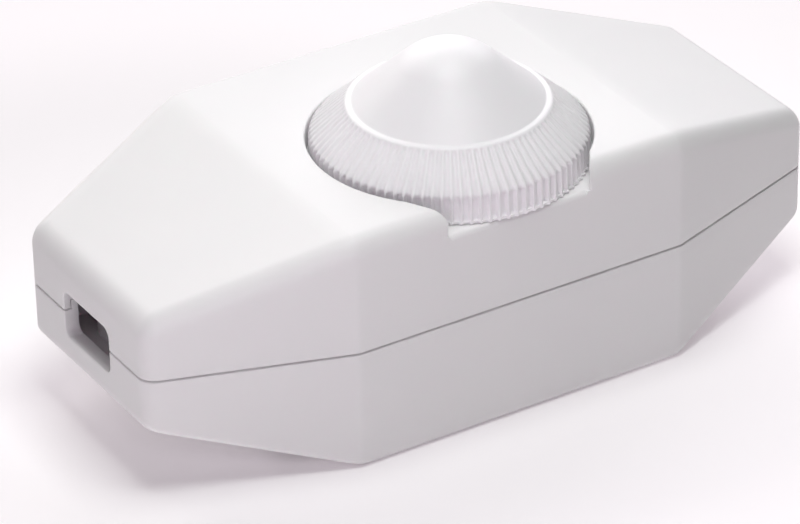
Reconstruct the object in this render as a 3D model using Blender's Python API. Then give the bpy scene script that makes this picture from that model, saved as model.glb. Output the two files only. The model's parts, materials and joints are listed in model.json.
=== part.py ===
"""In-line rotary dimmer for a lamp cord: a tapered white case with a ribbed dial on top.

The case is split along a level seam. The dial turns a potentiometer, which sits
under a round pocket in the upper shell. Board, choke, triac, fuse, screw terminals
and cord clamps lie between the two shells.

Lengths are in metres, +Z is up, +X runs along the case and the dial leans towards -Y.
The underside rests on z = 0 and the middle of the case is at x = 0, y = 0.
"""

import math

import bmesh
import bpy
from mathutils import Matrix, Vector

MM = 0.001

# Case: an octagon in plan, with its ends tapered in height as well.
CASE_LENGTH = 100.0 * MM
CASE_WIDTH = 47.8 * MM
MIDDLE_LENGTH = 48.5 * MM        # length of the straight, full-height middle
END_WIDTH = 30.3 * MM            # width of each small end face
CASE_HEIGHT = 32.85 * MM
END_TOP = 24.85 * MM             # height of the roof at the end face
END_BOTTOM = 9.5 * MM            # height of the underside at the end face
SEAM_HEIGHT = 16.8 * MM
WALL = 2.0 * MM
ROOF_EDGE_RADIUS = 2.5 * MM
CORNER_RADIUS = 2.2 * MM
UNDERSIDE_EDGE_RADIUS = 1.1 * MM

# Clearances between pieces.
SEAM_GAP = 0.3 * MM
SEAT_GAP = 0.15 * MM             # between faces that bear on each other
FIT_GAP = 0.15 * MM              # around a shank or lead in its hole
RUNNING_GAP = 0.08 * MM          # around the turning shaft
MESH_OVERLAP = 0.5 * MM          # how far joined shapes run into each other
CUT_MARGIN = 8.0 * MM            # how far a cutter runs past what it cuts

# Seam: a tongue on the lower shell stands behind a rebate in the upper shell.
TONGUE_HEIGHT = 1.2 * MM
TONGUE_SETBACK = 1.1 * MM
TONGUE_GAP = 0.15 * MM

# Dial and its pocket.
DIAL_OFFSET = 6.2 * MM           # the dial axis stands this far to the front
DIAL_SIDE_OFFSET = 0.3 * MM      # and this far to the right
POCKET_RADIUS = 18.5 * MM
POCKET_DEPTH = 3.45 * MM
NOTCH_HALF_WIDTH = 10.0 * MM     # where the pocket breaks out of the front side
NOTCH_OFFSET = -0.45 * MM        # the middle of the notch lies a little to the left
NOTCH_SLANT = math.radians(30.0)  # its walls part by this much, inwards
DIAL_CLEARANCE = 0.25 * MM       # between the dial's foot and the pocket wall
DIAL_LIFT = 0.15 * MM            # between the dial and the pocket floor
DIAL_FOOT_HEIGHT = 0.4 * MM
DIAL_FOOT_LIP = 0.15 * MM        # the foot stands this far proud of the ribs
DIAL_LEAN = 0.4 * MM             # the ribbed wall draws in by this much up to the rim
DIAL_RIM_RISE = 0.45 * MM        # the rim stands this far above the roof
RIB_BAND_RISE = 4.25 * MM        # height of the sloping ribbed band
RIB_BAND_WIDTH = 4.7 * MM        # its width in plan
LAND_WIDTH = 0.9 * MM            # smooth ring between the ribs and the cone
RIB_COUNT = 92
RIB_DEPTH = 0.5 * MM
CONE_TOP_RADIUS = 6.5 * MM
CONE_SLOPE = math.radians(43.0)
DIAL_WALL = 1.8 * MM
HUB_RADIUS = 4.8 * MM

# Potentiometer with its snap switch.
SHAFT_RADIUS = 3.0 * MM
SHAFT_FLAT = 2.2 * MM            # distance of the flat from the shaft axis
BUSHING_RADIUS = 4.5 * MM
BUSHING_RISE = 3.8 * MM          # how far it stands above the pocket floor
NUT_ACROSS_FLATS = 12.0 * MM
NUT_HEIGHT = 2.0 * MM
WASHER_RADIUS = 7.5 * MM
WASHER_THICKNESS = 0.5 * MM
POT_RADIUS = 9.5 * MM
POT_HEIGHT = 9.6 * MM
POT_WALL = 0.8 * MM
WAFER_THICKNESS = 1.3 * MM
SWITCH_RADIUS = 8.0 * MM
WIPER_RADIUS = 7.9 * MM
WIPER_THICKNESS = 2.2 * MM
TAG_WIDTH = 1.2 * MM
TAG_THICKNESS = 0.5 * MM
TAG_HOLE_RADIUS = 0.9 * MM
POT_TAG_ANGLES = (60.0, 90.0, 120.0)
SWITCH_TAG_ANGLES = (-60.0, -120.0)

# Circuit board.
BOARD_END_ROOM = 15.0 * MM       # from the case's end face to the board's end
BOARD_BOTTOM = 8.0 * MM
BOARD_THICKNESS = 1.6 * MM
BOARD_SIDE_GAP = 0.8 * MM
BOARD_POST_RADIUS = 2.4 * MM
BOARD_POST_X = 20.8 * MM
BOARD_POST_MARGIN = 0.3 * MM     # board left outside each post

# Parts on the board.
CHOKE_RADIUS = 6.4 * MM
CHOKE_WAIST = 2.8 * MM
CHOKE_HEIGHT = 12.0 * MM
CHOKE_FLANGE = 1.6 * MM
CHOKE_OFFSET = (-13.6 * MM, 18.2 * MM)
FILTER_CAPACITOR_SIZE = (18.0 * MM, 8.0 * MM, 13.5 * MM)
FILTER_CAPACITOR_OFFSET = (8.0 * MM, 18.6 * MM)
TIMING_CAPACITOR_SIZE = (7.0 * MM, 3.2 * MM, 6.5 * MM)
RIGHT_COLUMN_GAP = 6.5 * MM      # from the pot's side to the row right of it
TIMING_CAPACITOR_OFFSET_Y = -0.6 * MM
LEAD_RADIUS = 0.3 * MM
LEAD_SPAN = 10.0 * MM
RESISTOR_RADIUS = 1.25 * MM
RESISTOR_LENGTH = 6.5 * MM
RESISTOR_COLUMN_GAP = 3.5 * MM   # from the pot's side to the resistors
RESISTOR_OFFSETS_Y = (-5.6 * MM, 6.4 * MM)
DIAC_RADIUS = 1.0 * MM
DIAC_LENGTH = 4.0 * MM
DIAC_OFFSET_Y = 7.2 * MM
FUSE_COLUMN_GAP = 9.5 * MM       # from the pot's side to the fuse
FUSE_OFFSET_Y = -1.0 * MM
FUSE_LENGTH = 20.0 * MM
FUSE_RADIUS = 2.6 * MM
FUSE_CAP_LENGTH = 5.5 * MM
FUSE_WALL = 0.4 * MM
FUSE_HEIGHT = 4.4 * MM           # fuse axis above the board
CLIP_LENGTH = 4.0 * MM
CLIP_THICKNESS = 0.5 * MM
TRIAC_COLUMN_GAP = 7.1 * MM
TRIAC_OFFSET_Y = -8.6 * MM
TRIAC_WIDTH = 10.0 * MM
TRIAC_DEPTH = 4.4 * MM
TRIAC_BODY_HEIGHT = 7.0 * MM
TRIAC_TAB_HEIGHT = 5.6 * MM
TRIAC_TAB_THICKNESS = 1.3 * MM
TRIAC_LEG_PITCH = 2.54 * MM
TRIAC_LEG_HEIGHT = 3.0 * MM
SINK_WIDTH = 14.0 * MM
SINK_HEIGHT = 14.6 * MM
SINK_THICKNESS = 1.6 * MM
SINK_FOOT = 6.0 * MM

# Screw terminals, neutral link and cord clamps.
BLOCK_SIZE = (9.0 * MM, 16.0 * MM, 9.0 * MM)
BLOCK_SETOUT = 5.75 * MM         # from the end of the straight middle to the block's middle
POLE_PITCH = 8.0 * MM
WIRE_HOLE_RADIUS = 1.5 * MM
WIRE_HOLE_HEIGHT = 3.0 * MM
TERMINAL_SCREW_RADIUS = 1.7 * MM
TERMINAL_SCREW_LENGTH = 4.0 * MM
LINK_WIDTH = 3.0 * MM
LINK_THICKNESS = 0.8 * MM
LINK_DROP = 2.4 * MM             # the link's run hangs this far under the board
CORD_OPENING_WIDTH = 11.8 * MM
CORD_OPENING_BOTTOM = 13.3 * MM
CORD_OPENING_TOP = 19.8 * MM
CORD_OPENING_CORNER = 1.2 * MM
CLAMP_SETBACK = 9.5 * MM         # from the end face to the middle of the clamp
CLAMP_SIZE = (5.0 * MM, 25.0 * MM, 4.6 * MM)
CLAMP_ARCH_RADIUS = 3.4 * MM
CLAMP_POST_RADIUS = 3.0 * MM
CLAMP_POST_TOP = 15.6 * MM
CLAMP_SCREW_Y = 9.0 * MM
SADDLE_SIZE = (3.0 * MM, 11.0 * MM)
SADDLE_TOP = 12.9 * MM           # the cord rests on the saddle, under the clamp

# Screws: shank radius, head radius, head height and length of the shank.
SCREW_SLOT_WIDTH = 0.7 * MM
SCREW_SLOT_DEPTH = 0.8 * MM
HOUSING_SCREW = (1.4 * MM, 2.7 * MM, 1.8 * MM, 17.0 * MM)
BOARD_SCREW = (1.1 * MM, 2.2 * MM, 1.4 * MM, 5.0 * MM)
CLAMP_SCREW = (1.2 * MM, 2.3 * MM, 1.5 * MM, 9.0 * MM)
SINK_SCREW = (1.4 * MM, 2.6 * MM, 1.6 * MM, 4.4 * MM)
HOUSING_SCREW_SETBACK = 21.0 * MM
HOUSING_BOSS_RADIUS = 3.5 * MM
HOUSING_BOSS_MARGIN = 1.5 * MM   # between the boss and the wall beside it
HOUSING_HEAD_SEAT = 7.0 * MM     # level on which the housing screws' heads bear
BOSS_BOARD_GAP = 0.6 * MM

# Mesh fineness.
ROUND_SEGMENTS = 24
SMALL_SEGMENTS = 16
POCKET_SEGMENTS = 64
DIAL_SEGMENTS = RIB_COUNT // 2
EDGE_SEGMENTS = 4
SMOOTH_ANGLE = math.radians(35.0)
MERGE_DISTANCE = 0.001 * MM

# Derived places.
HALF_LENGTH = CASE_LENGTH / 2
HALF_WIDTH = CASE_WIDTH / 2
HALF_MIDDLE = MIDDLE_LENGTH / 2
HALF_END = END_WIDTH / 2
SIDE_TAPER = (HALF_WIDTH - HALF_END) / (HALF_LENGTH - HALF_MIDDLE)
ROOF_TAPER = (CASE_HEIGHT - END_TOP) / (HALF_LENGTH - HALF_MIDDLE)
UNDERSIDE_TAPER = END_BOTTOM / (HALF_LENGTH - HALF_MIDDLE)
DIAL_AXIS = Vector((DIAL_SIDE_OFFSET, -DIAL_OFFSET, 0.0))
POCKET_FLOOR = CASE_HEIGHT - POCKET_DEPTH
DIAL_BOTTOM = POCKET_FLOOR + DIAL_LIFT
DIAL_FOOT_RADIUS = POCKET_RADIUS - DIAL_CLEARANCE
DIAL_RIM_RADIUS = DIAL_FOOT_RADIUS - DIAL_LEAN
RIB_BAND_RADIUS = DIAL_RIM_RADIUS - RIB_BAND_WIDTH
LAND_RADIUS = RIB_BAND_RADIUS - LAND_WIDTH
DIAL_RIM = CASE_HEIGHT + DIAL_RIM_RISE
DIAL_LAND = DIAL_RIM + RIB_BAND_RISE
CONE_TOP = DIAL_LAND + (LAND_RADIUS - CONE_TOP_RADIUS) * math.tan(CONE_SLOPE)
DOME_RADIUS = CONE_TOP_RADIUS / math.sin(CONE_SLOPE)
DIAL_TOP = CONE_TOP + DOME_RADIUS * (1 - math.cos(CONE_SLOPE))
POCKET_CEILING = POCKET_FLOOR - WALL
POT_TOP = POCKET_CEILING - SEAT_GAP
POT_BOTTOM = POT_TOP - POT_HEIGHT
WAFER_TOP = POT_BOTTOM - SEAT_GAP
WAFER_BOTTOM = WAFER_TOP - WAFER_THICKNESS
BOARD_TOP = BOARD_BOTTOM + BOARD_THICKNESS
BUSHING_TOP = POCKET_FLOOR + BUSHING_RISE
HUB_BOTTOM = BUSHING_TOP + DIAL_LIFT
SHAFT_TOP = CONE_TOP - DIAL_WALL - 2 * SEAT_GAP
SHAFT_BOTTOM = WAFER_TOP + WALL
TONGUE_TOP = SEAM_HEIGHT + TONGUE_HEIGHT
BOARD_HALF_LENGTH = HALF_LENGTH - BOARD_END_ROOM
BOARD_POST_Y = HALF_WIDTH - WALL - BOARD_SIDE_GAP - BOARD_POST_RADIUS - BOARD_POST_MARGIN
BLOCK_X = HALF_MIDDLE + BLOCK_SETOUT
CLAMP_X = HALF_LENGTH - CLAMP_SETBACK
HOUSING_SCREW_X = HALF_LENGTH - HOUSING_SCREW_SETBACK
HOUSING_SCREW_Y = (HALF_WIDTH - SIDE_TAPER * (HOUSING_SCREW_X - HALF_MIDDLE) - WALL
                   - HOUSING_BOSS_MARGIN - HOUSING_BOSS_RADIUS)
CHOKE_PLACE = (CHOKE_OFFSET[0], DIAL_AXIS.y + CHOKE_OFFSET[1])
FILTER_CAPACITOR_PLACE = (FILTER_CAPACITOR_OFFSET[0], DIAL_AXIS.y + FILTER_CAPACITOR_OFFSET[1])
RIGHT_COLUMN = DIAL_AXIS.x + POT_RADIUS + RIGHT_COLUMN_GAP
TIMING_CAPACITOR_PLACE = (RIGHT_COLUMN, DIAL_AXIS.y + TIMING_CAPACITOR_OFFSET_Y)
DIAC_PLACE = (RIGHT_COLUMN, DIAL_AXIS.y + DIAC_OFFSET_Y)
RESISTOR_PLACES = tuple(
    (DIAL_AXIS.x - POT_RADIUS - RESISTOR_COLUMN_GAP, DIAL_AXIS.y + y) for y in RESISTOR_OFFSETS_Y)
FUSE_PLACE = (DIAL_AXIS.x - POT_RADIUS - FUSE_COLUMN_GAP, DIAL_AXIS.y + FUSE_OFFSET_Y)
TRIAC_PLACE = (DIAL_AXIS.x + POT_RADIUS + TRIAC_COLUMN_GAP, DIAL_AXIS.y + TRIAC_OFFSET_Y)


# ---------------------------------------------------------------- small helpers

def clear_scene():
    """Remove whatever the file opened with."""
    for item in list(bpy.data.objects):
        bpy.data.objects.remove(item, do_unlink=True)


def linear(channel):
    """Turn one sRGB channel into its linear value."""
    if channel <= 0.04045:
        return channel / 12.92
    return ((channel + 0.055) / 1.055) ** 2.4


def material(name, colour, roughness, metallic=0.0):
    """Make a Principled material from an sRGB hex colour such as 0xF2F2EF."""
    result = bpy.data.materials.new(name)
    result.use_nodes = True
    channels = [((colour >> shift) & 255) / 255 for shift in (16, 8, 0)]
    shader = result.node_tree.nodes["Principled BSDF"]
    shader.inputs["Base Color"].default_value = [linear(c) for c in channels] + [1.0]
    shader.inputs["Roughness"].default_value = roughness
    shader.inputs["Metallic"].default_value = metallic
    return result


def add_object(name, mesh_source, finish, location=(0, 0, 0), parent=None):
    """Link a bmesh to the scene as a named object with one material."""
    bmesh.ops.recalc_face_normals(mesh_source, faces=mesh_source.faces)
    mesh = bpy.data.meshes.new(name)
    mesh_source.to_mesh(mesh)
    mesh_source.free()
    mesh.shade_smooth()
    mesh.set_sharp_from_angle(angle=SMOOTH_ANGLE)
    result = bpy.data.objects.new(name, mesh)
    bpy.context.collection.objects.link(result)
    if finish is not None:
        mesh.materials.append(finish)
    result.parent = parent
    result.location = Vector(location)
    return result


def box_mesh(size, centre=(0, 0, 0)):
    """A box of the given size round its centre."""
    mesh = bmesh.new()
    bmesh.ops.create_cube(mesh, size=1.0)
    bmesh.ops.scale(mesh, vec=Vector(size), verts=mesh.verts)
    bmesh.ops.translate(mesh, vec=Vector(centre), verts=mesh.verts)
    return mesh


def span_mesh(low, high):
    """A box between its lowest and its highest corner."""
    size = [b - a for a, b in zip(low, high)]
    centre = [(a + b) / 2 for a, b in zip(low, high)]
    return box_mesh(size, centre)


def lathe_mesh(profile, segments=ROUND_SEGMENTS):
    """Spin a profile of (radius, height) points round Z into a closed solid.

    A point on the axis closes the solid there; a profile that never meets the axis
    is joined end to end into a ring.
    """
    mesh = bmesh.new()
    points = [mesh.verts.new((radius, 0.0, height)) for radius, height in profile]
    ends = list(zip(points, points[1:]))
    if all(radius > 0 for radius, _ in profile):
        ends.append((points[-1], points[0]))
    edges = [mesh.edges.new(pair) for pair in ends]
    bmesh.ops.spin(
        mesh, geom=points + edges, cent=(0, 0, 0), axis=(0, 0, 1),
        angle=math.tau, steps=segments, use_merge=True,
    )
    bmesh.ops.remove_doubles(mesh, verts=mesh.verts, dist=MERGE_DISTANCE)
    return mesh


def rod_mesh(radius, bottom, top, segments=SMALL_SEGMENTS):
    """An upright cylinder."""
    return lathe_mesh([(0, bottom), (radius, bottom), (radius, top), (0, top)], segments)


def tube_mesh(inner, outer, bottom, top, segments=ROUND_SEGMENTS):
    """An upright tube."""
    profile = [(inner, bottom), (outer, bottom), (outer, top), (inner, top)]
    return lathe_mesh(profile, segments)


def prism_mesh(outline, bottom, top):
    """Extrude a flat outline of (x, y) points from one height to another."""
    mesh = bmesh.new()
    corners = [mesh.verts.new((x, y, bottom)) for x, y in outline]
    face = mesh.faces.new(corners)
    raised = bmesh.ops.extrude_face_region(mesh, geom=[face])["geom"]
    verts = [item for item in raised if isinstance(item, bmesh.types.BMVert)]
    bmesh.ops.translate(mesh, vec=(0, 0, top - bottom), verts=verts)
    return mesh


def turned(mesh, angle, axis):
    """Turn a bmesh round an axis through the origin."""
    matrix = Matrix.Rotation(angle, 3, axis)
    bmesh.ops.rotate(mesh, cent=(0, 0, 0), matrix=matrix, verts=mesh.verts)
    return mesh


def moved(mesh, offset):
    """Shift a bmesh."""
    bmesh.ops.translate(mesh, vec=Vector(offset), verts=mesh.verts)
    return mesh


def merged(meshes):
    """Gather several separate bmeshes into one."""
    result = bmesh.new()
    for mesh in meshes:
        carrier = bpy.data.meshes.new("carrier")
        mesh.to_mesh(carrier)
        mesh.free()
        result.from_mesh(carrier)
        bpy.data.meshes.remove(carrier)
    return result


def cutter(name, mesh, parent=None):
    """A shape that only serves another object's Boolean."""
    result = add_object(name, mesh, None, parent=parent)
    result.hide_render = True
    result.display_type = "WIRE"
    return result


def combine(target, other, operation="DIFFERENCE"):
    """Add an exact Boolean to an object."""
    modifier = target.modifiers.new(other.name, "BOOLEAN")
    modifier.operation = operation
    modifier.solver = "EXACT"
    modifier.object = other
    return modifier


def round_edges(target, width, segments=EDGE_SEGMENTS, by_weight=False):
    """Add a Bevel modifier over the sharp edges, or over the weighted ones."""
    modifier = target.modifiers.new("rounded edges", "BEVEL")
    modifier.width = width
    modifier.segments = segments
    modifier.limit_method = "WEIGHT" if by_weight else "ANGLE"
    modifier.harden_normals = False
    return modifier


def screw_mesh(dimensions):
    """A pan-head screw pointing down, with a cross slot and its head's seat at z = 0."""
    shank, head, head_height, length = dimensions
    slot = SCREW_SLOT_WIDTH / 2
    arm = head * 0.7
    profile = [
        (0, -length), (shank * 0.5, -length), (shank, -length + shank), (shank, 0),
        (head, 0), (head, head_height * 0.5), (head * 0.75, head_height), (0, head_height),
    ]
    body = lathe_mesh(profile, SMALL_SEGMENTS)
    outline = [
        (slot, slot), (slot, arm), (-slot, arm), (-slot, slot), (-arm, slot), (-arm, -slot),
        (-slot, -slot), (-slot, -arm), (slot, -arm), (slot, -slot), (arm, -slot), (arm, slot),
    ]
    low = head_height - SCREW_SLOT_DEPTH
    slots = prism_mesh(outline, low, head_height + SCREW_SLOT_DEPTH)
    return body, slots


def add_screw(name, dimensions, place, finish, turn=0.0, axis="X"):
    """Add one screw with its head's seat at a place, turned from pointing down."""
    body, slots = screw_mesh(dimensions)
    result = add_object(name, turned(body, turn, axis), finish, place)
    combine(result, cutter(name + "_slots", turned(slots, turn, axis), parent=result))
    return result


# ------------------------------------------------------------------------ case

def case_outline(inset=0.0):
    """The octagon of the case in plan, drawn in by an inset on every side."""
    slant = math.hypot(1.0, SIDE_TAPER)
    side = HALF_WIDTH - inset
    end = HALF_LENGTH - inset
    corner_x = HALF_MIDDLE - inset * (slant - 1.0) / SIDE_TAPER
    end_y = HALF_END + SIDE_TAPER * inset - inset * slant
    return [
        (corner_x, side), (-corner_x, side), (-end, end_y), (-end, -end_y),
        (-corner_x, -side), (corner_x, -side), (end, -end_y), (end, end_y),
    ]


def case_block(inset=0.0):
    """The solid block of the case, drawn in by an inset on every face.

    The middle is a full-height slab and both ends taper in plan and in height.
    """
    slant = math.hypot(1.0, ROOF_TAPER)
    fall = math.hypot(1.0, UNDERSIDE_TAPER)
    roof_x = HALF_MIDDLE - inset * (slant - 1.0) / ROOF_TAPER
    under_x = HALF_MIDDLE - inset * (fall - 1.0) / UNDERSIDE_TAPER
    top, bottom = CASE_HEIGHT - inset, inset
    end = HALF_LENGTH - inset
    end_top = top - (end - roof_x) * ROOF_TAPER
    end_bottom = bottom + (end - under_x) * UNDERSIDE_TAPER
    outline = case_outline(inset)
    mesh = bmesh.new()
    upper = [mesh.verts.new((x, y, top if abs(x) < end else end_top)) for x, y in outline]
    lower = [mesh.verts.new((x, y, bottom if abs(x) < end else end_bottom)) for x, y in outline]
    for ring in (upper, lower):
        mesh.faces.new((ring[0], ring[1], ring[4], ring[5]))
        mesh.faces.new((ring[1], ring[2], ring[3], ring[4]))
        mesh.faces.new((ring[5], ring[6], ring[7], ring[0]))
    for i in range(len(outline)):
        j = (i + 1) % len(outline)
        mesh.faces.new((lower[i], lower[j], upper[j], upper[i]))
    return mesh


def weigh_case_edges(mesh):
    """Give the block's edges their own share of the widest rounding."""
    layer = mesh.edges.layers.float.new("bevel_weight_edge")
    for edge in mesh.edges:
        first, second = (v.co for v in edge.verts)
        same_x = abs(first.x - second.x) < MERGE_DISTANCE
        upright = same_x and abs(first.y - second.y) < MERGE_DISTANCE
        across = same_x and abs(first.x) < HALF_LENGTH - WALL
        if upright:
            edge[layer] = CORNER_RADIUS / ROOF_EDGE_RADIUS
        elif across:
            edge[layer] = 0.0
        elif first.z > SEAM_HEIGHT:
            edge[layer] = 1.0
        else:
            edge[layer] = UNDERSIDE_EDGE_RADIUS / ROOF_EDGE_RADIUS


def mirrored_places(x, y):
    """The four places (+-x, +-y)."""
    return [(sx * x, sy * y) for sx in (-1, 1) for sy in (-1, 1)]


def board_screw_places():
    """The two posts at the back hold a screw; the two at the front only carry the board."""
    return [(side * BOARD_POST_X, BOARD_POST_Y) for side in (-1, 1)]


def case_object(name, finish):
    """The rounded outer block that a shell is cut from."""
    mesh = case_block()
    weigh_case_edges(mesh)
    result = add_object(name, mesh, finish)
    round_edges(result, ROOF_EDGE_RADIUS, by_weight=True)
    return result


def columns_mesh(places, radius, bottom, top):
    """Upright columns of one size at several places."""
    return merged([moved(rod_mesh(radius, bottom, top), (x, y, 0)) for x, y in places])


def cavity(name, columns):
    """The hollow of a shell, with each group of columns left standing in it."""
    result = cutter(name, case_block(WALL))
    for number, column in enumerate(columns):
        combine(result, cutter(f"{name}_columns_{number}", column))
    return result


def cord_openings_mesh():
    """Both cord openings: rounded slots through the end faces."""
    half, corner = CORD_OPENING_WIDTH / 2, CORD_OPENING_CORNER
    outline = []
    for centre_x, centre_y, start in (
        (half - corner, CORD_OPENING_TOP - corner, 0.0),
        (-half + corner, CORD_OPENING_TOP - corner, 90.0),
        (-half + corner, CORD_OPENING_BOTTOM + corner, 180.0),
        (half - corner, CORD_OPENING_BOTTOM + corner, 270.0),
    ):
        for step in range(EDGE_SEGMENTS + 1):
            angle = math.radians(start + 90.0 * step / EDGE_SEGMENTS)
            x, y = corner * math.cos(angle), corner * math.sin(angle)
            outline.append((centre_x + x, centre_y + y))
    reach = WALL + MESH_OVERLAP
    slots = []
    for side in (-1, 1):
        slot = turned(prism_mesh(outline, -reach, CUT_MARGIN), math.pi / 2, "X")
        slot = turned(slot, side * math.pi / 2, "Z")
        slots.append(moved(slot, (side * HALF_LENGTH, 0, 0)))
    return merged(slots)


def saddles_mesh():
    """The ribs that carry the cord under each clamp."""
    half_x, half_y = SADDLE_SIZE[0] / 2, SADDLE_SIZE[1] / 2
    return merged([
        span_mesh((x - half_x, -half_y, -CUT_MARGIN), (x + half_x, half_y, SADDLE_TOP))
        for x in (-CLAMP_X, CLAMP_X)
    ])


def add_lower_shell(finish):
    """The lower shell, with its posts, its tongue and the screws' seats."""
    housing = mirrored_places(HOUSING_SCREW_X, HOUSING_SCREW_Y)
    board = mirrored_places(BOARD_POST_X, BOARD_POST_Y)
    clamps = mirrored_places(CLAMP_X, CLAMP_SCREW_Y)
    hollow = cavity("lower_hollow", [
        columns_mesh(housing, HOUSING_BOSS_RADIUS, -CUT_MARGIN, CASE_HEIGHT),
        columns_mesh(board, BOARD_POST_RADIUS, -CUT_MARGIN, BOARD_BOTTOM - SEAT_GAP),
        columns_mesh(clamps, CLAMP_POST_RADIUS, -CUT_MARGIN, CLAMP_POST_TOP),
        saddles_mesh(),
    ])
    above = cutter("above_the_seam", span_mesh(
        (-CASE_LENGTH, -CASE_WIDTH, SEAM_HEIGHT - SEAM_GAP / 2),
        (CASE_LENGTH, CASE_WIDTH, CASE_HEIGHT + CUT_MARGIN),
    ))
    tongue = prism_mesh(case_outline(TONGUE_SETBACK), SEAM_HEIGHT - CUT_MARGIN, TONGUE_TOP)
    combine(above, cutter("tongue", tongue))
    shank, head = HOUSING_SCREW[0] + FIT_GAP, HOUSING_SCREW[1] + FIT_GAP
    holes = merged([
        moved(lathe_mesh([
            (0, -CUT_MARGIN), (head, -CUT_MARGIN), (head, HOUSING_HEAD_SEAT),
            (shank, HOUSING_HEAD_SEAT), (shank, CASE_HEIGHT), (0, CASE_HEIGHT),
        ], SMALL_SEGMENTS), (x, y, 0))
        for x, y in housing
    ])
    pilots = merged([
        columns_mesh(
            board_screw_places(), BOARD_SCREW[0] + FIT_GAP,
            BOARD_TOP - BOARD_SCREW[3] - SEAT_GAP - MESH_OVERLAP, BOARD_TOP,
        ),
        columns_mesh(
            clamps, CLAMP_SCREW[0] + FIT_GAP,
            clamp_top() + SEAT_GAP - CLAMP_SCREW[3] - MESH_OVERLAP, CLAMP_POST_TOP + CUT_MARGIN,
        ),
    ])
    shell = case_object("lower_shell", finish)
    combine(shell, hollow)
    combine(shell, above)
    combine(shell, cutter("lower_screw_holes", holes))
    combine(shell, cutter("lower_pilot_holes", pilots))
    combine(shell, cutter("lower_cord_openings", cord_openings_mesh()))
    return shell


def notch_mesh(top):
    """The break from the pocket through the front side, between two slanted walls."""
    front = -HALF_WIDTH - CUT_MARGIN
    back = -DIAL_OFFSET - POCKET_RADIUS / 2
    slant = math.tan(NOTCH_SLANT)
    narrow = NOTCH_HALF_WIDTH + (front + HALF_WIDTH) * slant
    wide = NOTCH_HALF_WIDTH + (back + HALF_WIDTH) * slant
    outline = [(-narrow, front), (narrow, front), (wide, back), (-wide, back)]
    return moved(prism_mesh(outline, POCKET_FLOOR, top), (NOTCH_OFFSET, 0, 0))


def add_upper_shell(finish):
    """The upper shell, with the dial's pocket and the bosses for the screws."""
    housing = mirrored_places(HOUSING_SCREW_X, HOUSING_SCREW_Y)
    pocket_boss = rod_mesh(
        POCKET_RADIUS + WALL, POCKET_CEILING, CASE_HEIGHT + CUT_MARGIN, POCKET_SEGMENTS)
    hollow = cavity("upper_hollow", [
        columns_mesh(housing, HOUSING_BOSS_RADIUS, 0, CASE_HEIGHT + CUT_MARGIN),
        moved(pocket_boss, DIAL_AXIS),
    ])
    below = cutter("below_the_seam", span_mesh(
        (-CASE_LENGTH, -CASE_WIDTH, -CUT_MARGIN),
        (CASE_LENGTH, CASE_WIDTH, SEAM_HEIGHT + SEAM_GAP / 2),
    ))
    rebate = prism_mesh(case_outline(TONGUE_SETBACK - TONGUE_GAP), -CUT_MARGIN / 2,
                        TONGUE_TOP + TONGUE_GAP)
    combine(below, cutter("rebate", rebate), "UNION")
    pocket_top = CASE_HEIGHT + CUT_MARGIN
    pocket = cutter("dial_pocket", moved(
        rod_mesh(POCKET_RADIUS, POCKET_FLOOR, pocket_top, POCKET_SEGMENTS), DIAL_AXIS))
    combine(pocket, cutter("pocket_notch", notch_mesh(pocket_top)), "UNION")
    bore = moved(rod_mesh(
        BUSHING_RADIUS + FIT_GAP, POCKET_CEILING - WALL, POCKET_FLOOR + WALL), DIAL_AXIS)
    screw_end = HOUSING_HEAD_SEAT - SEAT_GAP + HOUSING_SCREW[3] + MESH_OVERLAP
    pilots = columns_mesh(housing, HOUSING_SCREW[0] + FIT_GAP, 0, screw_end)
    shell = case_object("upper_shell", finish)
    combine(shell, hollow)
    combine(shell, below)
    combine(shell, pocket)
    combine(shell, cutter("bushing_hole", bore))
    combine(shell, cutter("upper_pilot_holes", pilots))
    combine(shell, cutter("upper_cord_openings", cord_openings_mesh()))
    return shell


# ------------------------------------------------------------------------ dial

def ring(mesh, radius, height, count, flat=None, groove=0.0):
    """A ring of vertices; every second one sinks by the groove's depth."""
    result = []
    for i in range(count):
        angle = math.tau * i / count
        reach = radius - (groove if i % 2 else 0.0)
        x = reach * math.cos(angle)
        if flat is not None:
            x = min(x, flat)
        result.append(mesh.verts.new((x, reach * math.sin(angle), height)))
    return result


def join_rings(mesh, first, second):
    """Fill between two rings; one may hold a whole number of times more vertices."""
    count = min(len(first), len(second))
    for i in range(count):
        face = []
        for verts, order in ((first, 1), (second, -1)):
            share = len(verts) // count
            run = [verts[(i * share + k) % len(verts)] for k in range(share + 1)]
            face.extend(run[::order])
        mesh.faces.new(face)


def cap_ring(mesh, verts, height):
    """Close a ring with a fan to one point on the axis."""
    tip = mesh.verts.new((0, 0, height))
    for i, vert in enumerate(verts):
        mesh.faces.new((vert, verts[(i + 1) % len(verts)], tip))


def dome_profile(offset=0.0, steps=4):
    """Points (radius, height) of the rounded top, from the cone up to near the tip."""
    centre = CONE_TOP - DOME_RADIUS * math.cos(CONE_SLOPE)
    radius = DOME_RADIUS - offset
    angles = [CONE_SLOPE * (steps - i) / steps for i in range(steps)]
    return [(radius * math.sin(a), centre + radius * math.cos(a)) for a in angles]


def dial_ceiling(radius):
    """Height of the dial's inner face, one wall under the line of the cone."""
    cone = DIAL_LAND + (LAND_RADIUS - radius) * math.tan(CONE_SLOPE)
    return cone - DIAL_WALL / math.cos(CONE_SLOPE)


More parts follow.
